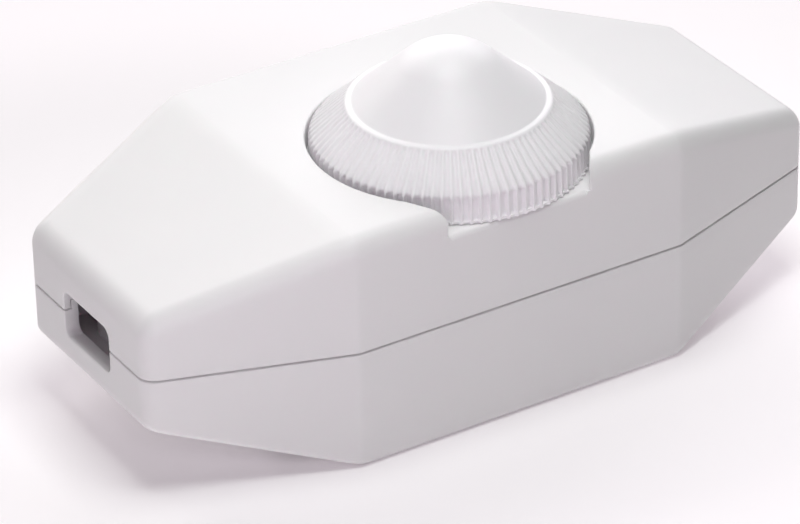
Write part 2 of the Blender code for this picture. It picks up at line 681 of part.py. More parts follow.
def add_dial_knob(finish, axis):
    """The hollow dial: foot, ribbed wall, ribbed slope, smooth ring, cone and hub."""
    mesh = bmesh.new()
    ribs, plain = 2 * RIB_COUNT, DIAL_SEGMENTS
    inner = DIAL_FOOT_RADIUS - DIAL_WALL
    foot_top = DIAL_BOTTOM + DIAL_FOOT_HEIGHT
    rings = [
        ring(mesh, DIAL_FOOT_RADIUS, DIAL_BOTTOM, plain),
        ring(mesh, DIAL_FOOT_RADIUS, foot_top, plain),
        ring(mesh, DIAL_FOOT_RADIUS - DIAL_FOOT_LIP, foot_top, ribs, groove=RIB_DEPTH),
        ring(mesh, DIAL_RIM_RADIUS, DIAL_RIM, ribs, groove=RIB_DEPTH),
        ring(mesh, RIB_BAND_RADIUS, DIAL_LAND, ribs, groove=RIB_DEPTH / 2),
    ]
    rings.append(ring(mesh, LAND_RADIUS, DIAL_LAND, plain))
    rings.extend(ring(mesh, radius, height, plain) for radius, height in dome_profile())
    cap_ring(mesh, rings[-1], DIAL_TOP)
    bore = SHAFT_RADIUS + FIT_GAP
    flat = SHAFT_FLAT + FIT_GAP
    hollow = [
        ring(mesh, inner, DIAL_BOTTOM, plain),
        ring(mesh, inner, dial_ceiling(inner), plain),
        ring(mesh, HUB_RADIUS, dial_ceiling(HUB_RADIUS), plain),
        ring(mesh, HUB_RADIUS, HUB_BOTTOM, plain),
        ring(mesh, bore, HUB_BOTTOM, plain, flat),
        ring(mesh, bore, SHAFT_TOP + SEAT_GAP, plain, flat),
    ]
    cap_ring(mesh, hollow[-1], SHAFT_TOP + SEAT_GAP)
    for sequence in (rings, hollow, (rings[0], hollow[0])):
        for first, second in zip(sequence, sequence[1:]):
            join_rings(mesh, first, second)
    return add_object("dial_knob", mesh, finish, parent=axis)


def add_pot_shaft(finish, axis):
    """The potentiometer's shaft, with a flat that the dial's hub grips."""
    mesh = bmesh.new()
    count = ROUND_SEGMENTS
    rings = [
        ring(mesh, SHAFT_RADIUS, SHAFT_BOTTOM, count),
        ring(mesh, SHAFT_RADIUS, HUB_BOTTOM - SEAT_GAP, count),
        ring(mesh, SHAFT_RADIUS, HUB_BOTTOM - SEAT_GAP, count, SHAFT_FLAT),
        ring(mesh, SHAFT_RADIUS, SHAFT_TOP, count, SHAFT_FLAT),
    ]
    for first, second in zip(rings, rings[1:]):
        join_rings(mesh, first, second)
    cap_ring(mesh, rings[0], SHAFT_BOTTOM)
    cap_ring(mesh, rings[-1], SHAFT_TOP)
    bmesh.ops.remove_doubles(mesh, verts=mesh.verts, dist=MERGE_DISTANCE)
    return add_object("pot_shaft", mesh, finish, parent=axis)


def add_pot_wiper(finish, axis):
    """The wiper: a collar round the shaft with one arm that reaches the track."""
    collar = SHAFT_RADIUS + FIT_GAP + WALL
    low = SHAFT_BOTTOM + SEAT_GAP
    mesh = tube_mesh(SHAFT_RADIUS + FIT_GAP, collar, low, low + WIPER_THICKNESS)
    wiper = add_object("pot_wiper", mesh, finish, parent=axis)
    arm = span_mesh(
        (-TAG_WIDTH, SHAFT_RADIUS + WALL / 2, low + WIPER_THICKNESS / 4),
        (TAG_WIDTH, WIPER_RADIUS, low + WIPER_THICKNESS / 2),
    )
    combine(wiper, cutter("wiper_arm", arm, parent=axis), "UNION")
    return wiper


# --------------------------------------------------------------- potentiometer

def tag_places(angles, radius):
    """Places round the dial's axis, at angles in degrees from +X."""
    turns = [math.radians(angle) for angle in angles]
    return [
        (DIAL_AXIS.x + radius * math.cos(a), DIAL_AXIS.y + radius * math.sin(a)) for a in turns]


def pot_tag_places():
    return tag_places(POT_TAG_ANGLES, (SWITCH_RADIUS + POT_RADIUS) / 2 + TAG_THICKNESS / 4)


def switch_tag_places():
    return tag_places(SWITCH_TAG_ANGLES, SWITCH_RADIUS - TAG_WIDTH)


def add_potentiometer(steel, brass, phenolic):
    """Everything of the potentiometer that stays still."""
    bore = SHAFT_RADIUS + RUNNING_GAP
    add_object("pot_case", lathe_mesh([
        (POT_RADIUS, POT_BOTTOM), (POT_RADIUS, POT_TOP), (bore, POT_TOP),
        (bore, POT_TOP - POT_WALL), (POT_RADIUS - POT_WALL, POT_TOP - POT_WALL),
        (POT_RADIUS - POT_WALL, POT_BOTTOM),
    ], 2 * SMALL_SEGMENTS), steel, DIAL_AXIS)
    wafer = rod_mesh(POT_RADIUS, WAFER_BOTTOM, WAFER_TOP, 2 * SMALL_SEGMENTS)
    add_object("pot_track_wafer", wafer, phenolic, DIAL_AXIS)
    add_object("pot_bushing", tube_mesh(bore, BUSHING_RADIUS, POT_TOP + SEAT_GAP, BUSHING_TOP),
               brass, DIAL_AXIS)
    low = POCKET_FLOOR + SEAT_GAP
    high = low + WASHER_THICKNESS
    inner = BUSHING_RADIUS + FIT_GAP
    add_object("pot_washer", tube_mesh(inner, WASHER_RADIUS, low, high), steel, DIAL_AXIS)
    nut = add_object("pot_nut", lathe_mesh([
        (0, high + SEAT_GAP), (NUT_ACROSS_FLATS / math.sqrt(3), high + SEAT_GAP),
        (NUT_ACROSS_FLATS / math.sqrt(3), high + SEAT_GAP + NUT_HEIGHT),
        (0, high + SEAT_GAP + NUT_HEIGHT),
    ], 6), brass, DIAL_AXIS)
    combine(nut, cutter("nut_hole", moved(rod_mesh(inner, POCKET_FLOOR, BUSHING_TOP), DIAL_AXIS)))


def add_switch(phenolic):
    """The snap switch that hangs under the potentiometer."""
    low = BOARD_TOP + 4 * SEAT_GAP
    body = rod_mesh(SWITCH_RADIUS, low, WAFER_BOTTOM - SEAT_GAP, ROUND_SEGMENTS)
    add_object("switch_case", body, phenolic, DIAL_AXIS)


def add_tags(prefix, places, top, finish):
    """Flat soldering tags that run down through the board, one object each."""
    for number, (x, y) in enumerate(places, start=1):
        size = (TAG_WIDTH, TAG_THICKNESS, top - BOARD_BOTTOM + TAG_THICKNESS)
        tag = box_mesh(size)
        angle = math.atan2(y - DIAL_AXIS.y, x - DIAL_AXIS.x) - math.pi / 2
        place = (x, y, top - size[2] / 2)
        add_object(f"{prefix}_{number}", turned(tag, angle, "Z"), finish, place)


# ----------------------------------------------------------------------- board

def board_outline():
    """The case's own octagon, drawn in to clear the walls and cut off at both ends."""
    inset = WALL + BOARD_SIDE_GAP
    half = BOARD_HALF_LENGTH
    corner_x, side = case_outline(inset)[0]
    end_y = side - (half - corner_x) * SIDE_TAPER
    return [
        (corner_x, side), (-corner_x, side), (-half, end_y), (-half, -end_y),
        (-corner_x, -side), (corner_x, -side), (half, -end_y), (half, end_y),
    ]


def lead_places():
    """Where every round lead goes through the board."""
    places = []
    for x, y in RESISTOR_PLACES + (DIAC_PLACE,):
        places.extend([(x, y - LEAD_SPAN / 2), (x, y + LEAD_SPAN / 2)])
    return places


def triac_leg_places():
    """Where the triac's three legs go through the board."""
    x, y = TRIAC_PLACE
    return [(x + i * TRIAC_LEG_PITCH, y) for i in (-1, 0, 1)]


def add_circuit_board(finish):
    """The board, cleared for the housing bosses, leads, tags and link legs."""
    low, high = BOARD_BOTTOM - CUT_MARGIN, BOARD_TOP + CUT_MARGIN
    board = add_object(
        "circuit_board", prism_mesh(board_outline(), BOARD_BOTTOM, BOARD_TOP), finish)
    housing = mirrored_places(HOUSING_SCREW_X, HOUSING_SCREW_Y)
    tags = pot_tag_places() + switch_tag_places()
    holes = [
        columns_mesh(housing, HOUSING_BOSS_RADIUS + BOSS_BOARD_GAP, low, high),
        columns_mesh(tags + triac_leg_places(), TAG_HOLE_RADIUS, low, high),
        columns_mesh(lead_places(), LEAD_RADIUS + FIT_GAP, low, high),
        columns_mesh(board_screw_places(), BOARD_SCREW[0] + FIT_GAP, low, high),
    ]
    for side in (-1, 1):
        x = side * BLOCK_X
        half_x, half_y = LINK_THICKNESS / 2 + FIT_GAP, LINK_WIDTH / 2 + FIT_GAP
        y = POLE_PITCH / 2
        holes.append(span_mesh((x - half_x, y - half_y, low), (x + half_x, y + half_y, high)))
    combine(board, cutter("board_holes", merged(holes)))


def add_leaded_part(name, place, radius, length, finish):
    """A round body lying along Y on two leads that bend down into the board."""
    half = LEAD_SPAN / 2
    height = radius + LEAD_RADIUS
    drop = BOARD_THICKNESS
    curve = bpy.data.curves.new(name, "CURVE")
    curve.dimensions = "3D"
    curve.bevel_depth = LEAD_RADIUS
    curve.bevel_resolution = 2
    curve.use_fill_caps = True
    path = [(-half, -drop), (-half, height - LEAD_RADIUS), (-half + LEAD_RADIUS, height)]
    path += [(-y, z) for y, z in reversed(path)]
    thin, thick = 1.0, radius / LEAD_RADIUS
    shoulder = length / 2
    middle = [(-shoulder, height), (-shoulder + LEAD_RADIUS, height),
              (shoulder - LEAD_RADIUS, height), (shoulder, height)]
    points = path[:3] + middle + path[3:]
    sizes = [thin] * 4 + [thick] * 2 + [thin] * 4
    spline = curve.splines.new("POLY")
    spline.points.add(len(points) - 1)
    for point, (y, z), size in zip(spline.points, points, sizes):
        point.co = (0.0, y, z, 1.0)
        point.radius = size
    curve.materials.append(finish)
    part = bpy.data.objects.new(name, curve)
    bpy.context.collection.objects.link(part)
    part.location = (place[0], place[1], BOARD_TOP)


def add_choke(ferrite, copper):
    """A drum-core choke: the core is a spool and the winding fills its waist."""
    x, y = CHOKE_PLACE
    low = BOARD_TOP + SEAT_GAP
    high = low + CHOKE_HEIGHT
    add_object("choke_core", lathe_mesh([
        (0, low), (CHOKE_RADIUS, low), (CHOKE_RADIUS, low + CHOKE_FLANGE),
        (CHOKE_WAIST, low + CHOKE_FLANGE), (CHOKE_WAIST, high - CHOKE_FLANGE),
        (CHOKE_RADIUS, high - CHOKE_FLANGE), (CHOKE_RADIUS, high), (0, high),
    ]), ferrite, (x, y, 0))
    winding = tube_mesh(
        CHOKE_WAIST + FIT_GAP, CHOKE_RADIUS - 2 * FIT_GAP,
        low + CHOKE_FLANGE + SEAT_GAP, high - CHOKE_FLANGE - SEAT_GAP)
    add_object("choke_winding", winding, copper, (x, y, 0))


def add_box_part(name, place, size, finish):
    """A moulded box that stands on the board, with soft edges."""
    centre = (place[0], place[1], BOARD_TOP + SEAT_GAP + size[2] / 2)
    part = add_object(name, box_mesh(size), finish, centre)
    round_edges(part, LEAD_RADIUS, segments=2)


def add_fuse(glass, metal):
    """The fuse along Y: a glass tube, a cap on each end and a spring clip for each cap."""
    x, y = FUSE_PLACE
    z = BOARD_TOP + FUSE_HEIGHT
    inner = FUSE_RADIUS - FUSE_WALL
    half = FUSE_LENGTH / 2
    tube_end = half - FUSE_WALL - SEAT_GAP
    tube = tube_mesh(inner - FIT_GAP - FUSE_WALL, inner - FIT_GAP, -tube_end, tube_end)
    add_object("fuse_tube", turned(tube, math.pi / 2, "X"), glass, (x, y, z))
    for number, side in enumerate((-1, 1), start=1):
        cap = lathe_mesh([
            (0, half), (FUSE_RADIUS, half), (FUSE_RADIUS, half - FUSE_CAP_LENGTH),
            (inner, half - FUSE_CAP_LENGTH), (inner, half - FUSE_WALL), (0, half - FUSE_WALL),
        ])
        cap = turned(cap, -side * math.pi / 2, "X")
        add_object(f"fuse_cap_{number}", cap, metal, (x, y, z))
        clip_y = y + side * (half - FUSE_CAP_LENGTH / 2)
        add_fuse_clip(f"fuse_clip_{number}", (x, clip_y, z), metal)


def add_fuse_clip(name, place, metal):
    """A spring clip: a strip bent round the lower part of the fuse cap, on a short foot."""
    inner = FUSE_RADIUS + FIT_GAP
    outer = inner + CLIP_THICKNESS
    opening = math.radians(60.0)
    steps = ROUND_SEGMENTS
    start, sweep = math.pi / 2 + opening, math.tau - 2 * opening
    angles = [start + sweep * i / steps for i in range(steps + 1)]
    outline = [(outer * math.cos(a), outer * math.sin(a)) for a in angles]
    outline += [(inner * math.cos(a), inner * math.sin(a)) for a in reversed(angles)]
    strip = turned(prism_mesh(outline, -CLIP_LENGTH / 2, CLIP_LENGTH / 2), math.pi / 2, "X")
    clip = add_object(name, strip, metal, place)
    foot = span_mesh(
        (-CLIP_LENGTH / 4, -CLIP_LENGTH / 2 + MESH_OVERLAP, SEAT_GAP - FUSE_HEIGHT),
        (CLIP_LENGTH / 4, CLIP_LENGTH / 2 - MESH_OVERLAP, -inner - CLIP_THICKNESS / 2),
    )
    combine(clip, cutter(name + "_foot", foot, parent=clip), "UNION")


def triac_screw_height():
    """Height of the heat sink screw above the board."""
    return TRIAC_LEG_HEIGHT + TRIAC_BODY_HEIGHT + TRIAC_TAB_HEIGHT / 2


def add_triac(name, finish):
    """A flat power package: moulded body, holed metal tab and three legs."""
    x, y = TRIAC_PLACE
    low, high = TRIAC_LEG_HEIGHT, TRIAC_LEG_HEIGHT + TRIAC_BODY_HEIGHT
    back = -TRIAC_DEPTH / 2
    body = span_mesh((-TRIAC_WIDTH / 2, back, low), (TRIAC_WIDTH / 2, -back, high))
    part = add_object(name, body, finish, (x, y, BOARD_TOP))
    extras = [span_mesh(
        (-TRIAC_WIDTH / 2 + SEAT_GAP, back + SEAT_GAP, high - MESH_OVERLAP),
        (TRIAC_WIDTH / 2 - SEAT_GAP, back + TRIAC_TAB_THICKNESS, high + TRIAC_TAB_HEIGHT),
    )]
    half = TAG_THICKNESS / 2
    for leg_x, leg_y in triac_leg_places():
        extras.append(span_mesh(
            (leg_x - x - half, leg_y - y - half, -BOARD_THICKNESS),
            (leg_x - x + half, leg_y - y + half, low + MESH_OVERLAP),
        ))
    combine(part, cutter(name + "_tab_and_legs", merged(extras), parent=part), "UNION")
    hole = rod_mesh(SINK_SCREW[0] + FIT_GAP, -CUT_MARGIN, CUT_MARGIN)
    hole = moved(turned(hole, math.pi / 2, "X"), (0, 0, triac_screw_height()))
    combine(part, cutter(name + "_hole", hole, parent=part))


def add_heat_sink(finish, screw_finish):
    """An angle plate behind the triac's tab, and the screw that joins them."""
    x, y = TRIAC_PLACE
    face = y - TRIAC_DEPTH / 2 - SEAT_GAP
    low = BOARD_TOP + SEAT_GAP
    half = SINK_WIDTH / 2
    sink = add_object("heat_sink", span_mesh(
        (x - half, face - SINK_THICKNESS, low), (x + half, face, low + SINK_HEIGHT)), finish)
    foot_x = x - half
    foot = span_mesh(
        (foot_x, face - MESH_OVERLAP, low),
        (foot_x + SINK_THICKNESS, face + SINK_FOOT, low + SINK_HEIGHT),
    )
    combine(sink, cutter("heat_sink_leg", foot), "UNION")
    z = BOARD_TOP + triac_screw_height()
    hole = turned(rod_mesh(SINK_SCREW[0] + FIT_GAP, -CUT_MARGIN / 2, CUT_MARGIN), math.pi / 2, "X")
    combine(sink, cutter("heat_sink_hole", moved(hole, (x, face - WALL, z))))
    seat = y - TRIAC_DEPTH / 2 + TRIAC_TAB_THICKNESS + SEAT_GAP
    add_screw("heat_sink_screw", SINK_SCREW, (x, seat, z), screw_finish, -math.pi / 2)


# ------------------------------------------------------ terminals, link, clamps

def add_terminal_block(name, side, finish):
    """A two-pole screw terminal: a block with a wire hole and a screw hole per pole."""
    base = BOARD_TOP + SEAT_GAP
    block = add_object(name, box_mesh(BLOCK_SIZE), finish,
                       (side * BLOCK_X, 0, base + BLOCK_SIZE[2] / 2))
    top = BLOCK_SIZE[2] / 2
    wire_z = -top + WIRE_HOLE_HEIGHT
    reach = BLOCK_SIZE[0]
    holes = []
    for y in (-POLE_PITCH / 2, POLE_PITCH / 2):
        wire = turned(rod_mesh(WIRE_HOLE_RADIUS, -reach, reach), math.pi / 2, "Y")
        holes.append((f"wire_{y > 0}", moved(wire, (0, y, wire_z))))
        well = rod_mesh(TERMINAL_SCREW_RADIUS + FIT_GAP, wire_z, top + WALL)
        holes.append((f"well_{y > 0}", moved(well, (0, y, 0))))
    for label, hole in holes:
        combine(block, cutter(f"{name}_{label}", hole, parent=block))


def add_terminal_screws(finish):
    """The four slotted grub screws in the terminal blocks."""
    radius, length = TERMINAL_SCREW_RADIUS, TERMINAL_SCREW_LENGTH
    top = BOARD_TOP + SEAT_GAP + BLOCK_SIZE[2] - MESH_OVERLAP
    for number, (x, y) in enumerate(mirrored_places(BLOCK_X, POLE_PITCH / 2), start=1):
        body = rod_mesh(radius, -length, 0)
        screw = add_object(f"terminal_screw_{number}", body, finish, (x, y, top))
        slot = box_mesh((CUT_MARGIN, SCREW_SLOT_WIDTH, 2 * SCREW_SLOT_DEPTH))
        combine(screw, cutter(f"terminal_slot_{number}", slot, parent=screw))


def add_neutral_link(finish):
    """A strip under the board that joins the neutral poles of both terminal blocks."""
    run_low = BOARD_BOTTOM - LINK_DROP
    half, thick = BLOCK_X + LINK_THICKNESS / 2, LINK_THICKNESS
    outline = [
        (-half, run_low), (half, run_low), (half, BOARD_TOP), (half - thick, BOARD_TOP),
        (half - thick, run_low + thick), (-half + thick, run_low + thick),
        (-half + thick, BOARD_TOP), (-half, BOARD_TOP),
    ]
    strip = turned(prism_mesh(outline, -LINK_WIDTH / 2, LINK_WIDTH / 2), math.pi / 2, "X")
    add_object("neutral_link", strip, finish, (0, POLE_PITCH / 2, 0))


def clamp_top():
    """The level of a cord clamp's upper face."""
    return CLAMP_POST_TOP + SEAT_GAP + CLAMP_SIZE[2]


def add_cord_clamp(name, side, finish):
    """A bar arched over the cord's path and held by a screw at each end."""
    place = (side * CLAMP_X, 0, CLAMP_POST_TOP + SEAT_GAP + CLAMP_SIZE[2] / 2)
    bar = add_object(name, box_mesh(CLAMP_SIZE), finish, place)
    round_edges(bar, LEAD_RADIUS, segments=2)
    arch = turned(rod_mesh(CLAMP_ARCH_RADIUS, -CLAMP_SIZE[0], CLAMP_SIZE[0]), math.pi / 2, "Y")
    combine(bar, cutter(name + "_arch", moved(arch, (0, 0, -CLAMP_SIZE[2] / 2)), parent=bar))
    holes = columns_mesh(
        [(0, -CLAMP_SCREW_Y), (0, CLAMP_SCREW_Y)], CLAMP_SCREW[0] + FIT_GAP,
        -CLAMP_SIZE[2], CLAMP_SIZE[2])
    combine(bar, cutter(name + "_holes", holes, parent=bar))


def add_fasteners(steel):
    """The screws of the housing, the board and the cord clamps."""
    for number, (x, y) in enumerate(mirrored_places(HOUSING_SCREW_X, HOUSING_SCREW_Y), start=1):
        place = (x, y, HOUSING_HEAD_SEAT - SEAT_GAP)
        add_screw(f"housing_screw_{number}", HOUSING_SCREW, place, steel, math.pi)
    for number, (x, y) in enumerate(mirrored_places(CLAMP_X, CLAMP_SCREW_Y), start=1):
        add_screw(f"clamp_screw_{number}", CLAMP_SCREW, (x, y, clamp_top() + SEAT_GAP), steel)
    for number, (x, y) in enumerate(board_screw_places(), start=1):
        add_screw(f"board_screw_{number}", BOARD_SCREW, (x, y, BOARD_TOP + SEAT_GAP), steel)


def main():
    """Model the whole dimmer."""
    clear_scene()
    white = material("white_polycarbonate", 0xF1F0EE, 0.38)
    dial_white = material("dial_polypropylene", 0xECECF0, 0.42)
    black = material("black_phenolic", 0x1B1B1C, 0.55)
    nylon = material("terminal_nylon", 0xD9D8D2, 0.5)
    laminate = material("board_laminate", 0xB08A4A, 0.6)
    steel = material("zinc_plated_steel", 0xC4C4C6, 0.35, 1.0)
    brass = material("brass", 0xC8A45A, 0.3, 1.0)
    copper = material("enamelled_copper", 0xA4552A, 0.35, 1.0)
    ferrite = material("ferrite", 0x3A3A3C, 0.7)
    aluminium = material("aluminium_sheet", 0xC9CACC, 0.4, 1.0)
    yellow = material("capacitor_polypropylene", 0xD8B63C, 0.45)
    tan = material("resistor_lacquer", 0xC8A878, 0.5)
    glass = material("fuse_glass", 0xD8E2E2, 0.1)

    dial_axis = bpy.data.objects.new("dial_axis", None)
    bpy.context.collection.objects.link(dial_axis)
    dial_axis.location = DIAL_AXIS

    add_lower_shell(white)
    add_upper_shell(white)
    add_dial_knob(dial_white, dial_axis)
    add_pot_shaft(steel, dial_axis)
    add_pot_wiper(brass, dial_axis)
    add_potentiometer(steel, brass, black)
    add_switch(black)
    add_tags("pot_terminal", pot_tag_places(), WAFER_BOTTOM - SEAT_GAP, brass)
    add_tags("switch_terminal", switch_tag_places(), BOARD_TOP + 2 * SEAT_GAP, brass)
    add_circuit_board(laminate)
    add_choke(ferrite, copper)
    add_box_part("suppression_capacitor", FILTER_CAPACITOR_PLACE, FILTER_CAPACITOR_SIZE, yellow)
    add_box_part("timing_capacitor", TIMING_CAPACITOR_PLACE, TIMING_CAPACITOR_SIZE, tan)
    for number, place in enumerate(RESISTOR_PLACES, start=1):
        add_leaded_part(f"resistor_{number}", place, RESISTOR_RADIUS, RESISTOR_LENGTH, tan)
    add_leaded_part("diac", DIAC_PLACE, DIAC_RADIUS, DIAC_LENGTH, glass)
    add_fuse(glass, steel)
    add_triac("triac", black)
    add_heat_sink(aluminium, steel)
    for name, side in (("left", -1), ("right", 1)):
        add_terminal_block(f"terminal_block_{name}", side, nylon)
        add_cord_clamp(f"cord_clamp_{name}", side, white)
    add_terminal_screws(steel)
    add_neutral_link(brass)
    add_fasteners(steel)


main()
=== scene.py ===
# %% [markdown]
# # An in-line rotary dimmer for a lamp cord
#
# The object is a white plastic case in two halves, with a ribbed dial sunk into its roof.
# A imported CAD model fixes every size and every place. This lesson puts finer skins over the
# two shells and the dial, gives each inner part its own finish, and lights the whole like a
# small product on a white table. Everything is in metres and +Z is up.
#
# The first cell loads the imported model. Each CAD part arrives as an object at the origin with
# its place in its mesh, and the box round all of them is kept and printed.

# %% Load the imported model
import json
import math

import bmesh
import bpy
import numpy as np
from mathutils import Matrix, Vector


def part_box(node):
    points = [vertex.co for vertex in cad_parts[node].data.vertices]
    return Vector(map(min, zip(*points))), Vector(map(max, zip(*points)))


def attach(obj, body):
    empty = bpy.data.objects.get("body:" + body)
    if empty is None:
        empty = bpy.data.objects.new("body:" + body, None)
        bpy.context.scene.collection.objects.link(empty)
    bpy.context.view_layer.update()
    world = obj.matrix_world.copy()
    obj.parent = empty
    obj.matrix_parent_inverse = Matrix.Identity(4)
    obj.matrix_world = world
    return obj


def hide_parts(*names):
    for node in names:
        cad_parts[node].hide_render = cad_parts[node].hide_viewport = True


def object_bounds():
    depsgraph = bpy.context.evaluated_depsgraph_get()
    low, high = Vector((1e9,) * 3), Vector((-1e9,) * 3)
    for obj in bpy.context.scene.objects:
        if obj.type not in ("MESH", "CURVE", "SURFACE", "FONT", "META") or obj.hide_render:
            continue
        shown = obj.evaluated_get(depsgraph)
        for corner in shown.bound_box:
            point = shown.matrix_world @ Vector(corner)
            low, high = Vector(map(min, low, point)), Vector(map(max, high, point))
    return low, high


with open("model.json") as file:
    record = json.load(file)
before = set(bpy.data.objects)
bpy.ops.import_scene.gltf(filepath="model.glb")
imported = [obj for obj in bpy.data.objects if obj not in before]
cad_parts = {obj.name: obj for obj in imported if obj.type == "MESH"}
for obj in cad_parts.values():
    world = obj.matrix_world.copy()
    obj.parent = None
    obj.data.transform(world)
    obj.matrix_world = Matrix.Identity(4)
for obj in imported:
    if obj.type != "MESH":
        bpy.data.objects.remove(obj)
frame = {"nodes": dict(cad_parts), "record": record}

MM = 0.001
CAD_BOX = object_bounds()
print("CAD box", [[round(value / MM, 2) for value in corner] for corner in CAD_BOX], "mm")

# %% [markdown]
# ## Camera
#
# A long lens far away keeps the edges of the case nearly parallel, as close-up product
# pictures have them. The camera is placed on a sphere round a point inside the case: the
# azimuth turns it to the left of the front, the elevation lifts it, and a small roll leans
# the picture. Making the camera from these four values is easier to adjust than a location
# and an Euler rotation would be.

# %% Camera
CAMERA_AZIMUTH = math.radians(-31.03)
CAMERA_ELEVATION = math.radians(30.54)
CAMERA_ROLL = math.radians(-1.29)
CAMERA_DISTANCE = 610.97 * MM
CAMERA_LENS = 210.3          # millimetres on a 36 mm wide sensor
AIM = Vector((-3.73, 0.02, 11.75)) * MM


def direction(azimuth, elevation):
    """Unit vector from the object: azimuth 0 is the front (-Y) and grows towards +X."""
    flat = math.cos(elevation)
    return Vector((math.sin(azimuth) * flat, -math.cos(azimuth) * flat, math.sin(elevation)))


def add_camera():
    """A camera that looks at the aim point, rolled about its own axis."""
    camera = bpy.data.objects.new("camera", bpy.data.cameras.new("camera"))
    camera.data.lens = CAMERA_LENS
    camera.data.clip_start = 10 * MM
    back = direction(CAMERA_AZIMUTH, CAMERA_ELEVATION)
    facing = back.to_track_quat("Z", "Y").to_matrix().to_4x4()
    place = Matrix.Translation(AIM + back * CAMERA_DISTANCE)
    camera.matrix_world = place @ facing @ Matrix.Rotation(CAMERA_ROLL, 4, "Z")
    bpy.context.scene.collection.objects.link(camera)
    bpy.context.scene.camera = camera
    return camera


camera = add_camera()
print("camera at", [round(value, 4) for value in camera.location])

# %% [markdown]
# ## Node helper and colours
#
# Every finish is a small node tree. One function adds a node, fills in its sockets and links
# them: a value in the dictionary that is itself a socket becomes a link, and anything else
# becomes the socket's own value. Colours are written as the hex values a designer would read
# off a swatch, which are sRGB, while the shader wants linear light. So one function converts.

# %% Node helper and colours
def linear(hex_colour):
    """sRGB 0xRRGGBB to linear RGBA: c/12.92 below 0.04045, else ((c+0.055)/1.055)**2.4."""
    srgb = np.array([hex_colour >> 16 & 255, hex_colour >> 8 & 255, hex_colour & 255]) / 255
    light = np.where(srgb <= 0.04045, srgb / 12.92, ((srgb + 0.055) / 1.055) ** 2.4)
    return (*light.tolist(), 1.0)


def add_node(tree, kind, inputs=None, **settings):
    """Add a node, set its properties, then fill or link its inputs by name or number."""
    node = tree.nodes.new("ShaderNode" + kind)
    for key, value in settings.items():
        setattr(node, key, value)
    for key, value in (inputs or {}).items():
        if isinstance(value, bpy.types.NodeSocket):
            tree.links.new(value, node.inputs[key])
        else:
            node.inputs[key].default_value = value
    return node


def start_finish(name, roughness, ior=None, metallic=0.0):
    """A material with one Principled shader; returns it, its tree, shader and coordinates."""
    finish = bpy.data.materials.new(name)
    finish.use_nodes = True
    tree = finish.node_tree
    tree.nodes.clear()
    shader = add_node(tree, "BsdfPrincipled", {"Roughness": roughness, "Metallic": metallic})
    if ior is not None:
        shader.inputs["IOR"].default_value = ior
    add_node(tree, "OutputMaterial", {"Surface": shader.outputs["BSDF"]})
    coordinates = add_node(tree, "TexCoord")
    return finish, tree, shader, coordinates.outputs["Object"]


print("mid grey 0x808080 is", round(linear(0x808080)[0], 3), "in linear light")

# %% [markdown]
# ## Table
#
# The dimmer lies on a plain sheet of opal acrylic. The sheet runs past every edge of the view,
# and its own material glows: painted light, with no lamp under it. The glow is weaker near the
# object, which paints a soft shade round it, and stronger away from it. The glow does two
# things: the background goes white without burning out the roof of the case, and the slanted
# lower faces are lit from below. The colours are shown without a film curve, because a film
# curve would turn a white table grey.

# %% Table
TABLE_SIZE = 6.0
TABLE_GAP = 0.02 * MM            # so that the sheet and the underside do not coincide
TABLE_COLOUR = 0xF6F4F5
# Painted light: the sheet's own emission, weaker near the object as a painted shade round it.
PAINTED_GLOW_COLOUR = 0xF6EBF2
PAINTED_GLOW = (0.13, 0.27)              # strength near the object and away from it
PAINTED_SHADE_CENTRE = (-25 * MM, 25 * MM, 0.0)
PAINTED_SHADE_REACH = (50 * MM, 90 * MM)


def add_table():
    """A flat sheet just under the case; its painted glow grows with the distance, so it is painted
    shade near the object.
    """
    half = TABLE_SIZE / 2
    height = CAD_BOX[0][2] - TABLE_GAP
    mesh = bpy.data.meshes.new("table")
    corners = [(x * half, y * half, height) for x, y in ((-1, -1), (1, -1), (1, 1), (-1, 1))]
    mesh.from_pydata(corners, [], [(0, 1, 2, 3)])
    table = bpy.data.objects.new("table", mesh)
    bpy.context.scene.collection.objects.link(table)
    finish, tree, shader, place = start_finish("opal_acrylic_sheet_painted_glow", 0.9)
    # The emission is painted light, weakest near the object as painted shade.
    away = add_node(tree, "VectorMath", {0: place, 1: PAINTED_SHADE_CENTRE}, operation="DISTANCE")
    glow = add_node(tree, "MapRange", {
        "Value": away.outputs["Value"], "From Min": PAINTED_SHADE_REACH[0], "From Max": PAINTED_SHADE_REACH[1],
        "To Min": PAINTED_GLOW[0], "To Max": PAINTED_GLOW[1]}, interpolation_type="SMOOTHSTEP")
    shader.inputs["Base Color"].default_value = linear(TABLE_COLOUR)
    shader.inputs["Specular IOR Level"].default_value = 0.1
    shader.inputs["Emission Color"].default_value = linear(PAINTED_GLOW_COLOUR)
    tree.links.new(glow.outputs["Result"], shader.inputs["Emission Strength"])
    mesh.materials.append(finish)


add_table()
print("glow", PAINTED_GLOW[0], "near the object and", PAINTED_GLOW[1], "away from it")
bpy.context.scene.view_settings.view_transform = "Standard"

# %% [markdown]
# ## Soft boxes
#
# Two large soft boxes stand behind the object, low enough to skim over the roof and light the
# far slopes. A third hangs close above it and makes the roof nearly white. The last one is
# small and very close, at the front left. Light falls off with the square of the distance, so
# from there it reaches the left end and hardly reaches the right one, and the long front side
# shades evenly from light to darker grey. That gradient is what shows that the side is flat.

# %% Soft boxes
# Each one: azimuth and elevation in degrees, distance and side in metres, watts, colour.
SOFT_BOXES = {
    "back": (180, 30, 1.2, 0.9, 6.5, (1.0, 0.96, 0.946)),
    "back_right": (135, 30, 1.2, 0.9, 5.6, (0.975, 0.935, 1.0)),
    "overhead": (-10, 80, 0.3, 0.15, 0.54, (0.977, 1.0, 0.982)),
    "front_left": (-45, 25, 0.17, 0.085, 0.050, (1.0, 0.897, 0.996)),
}


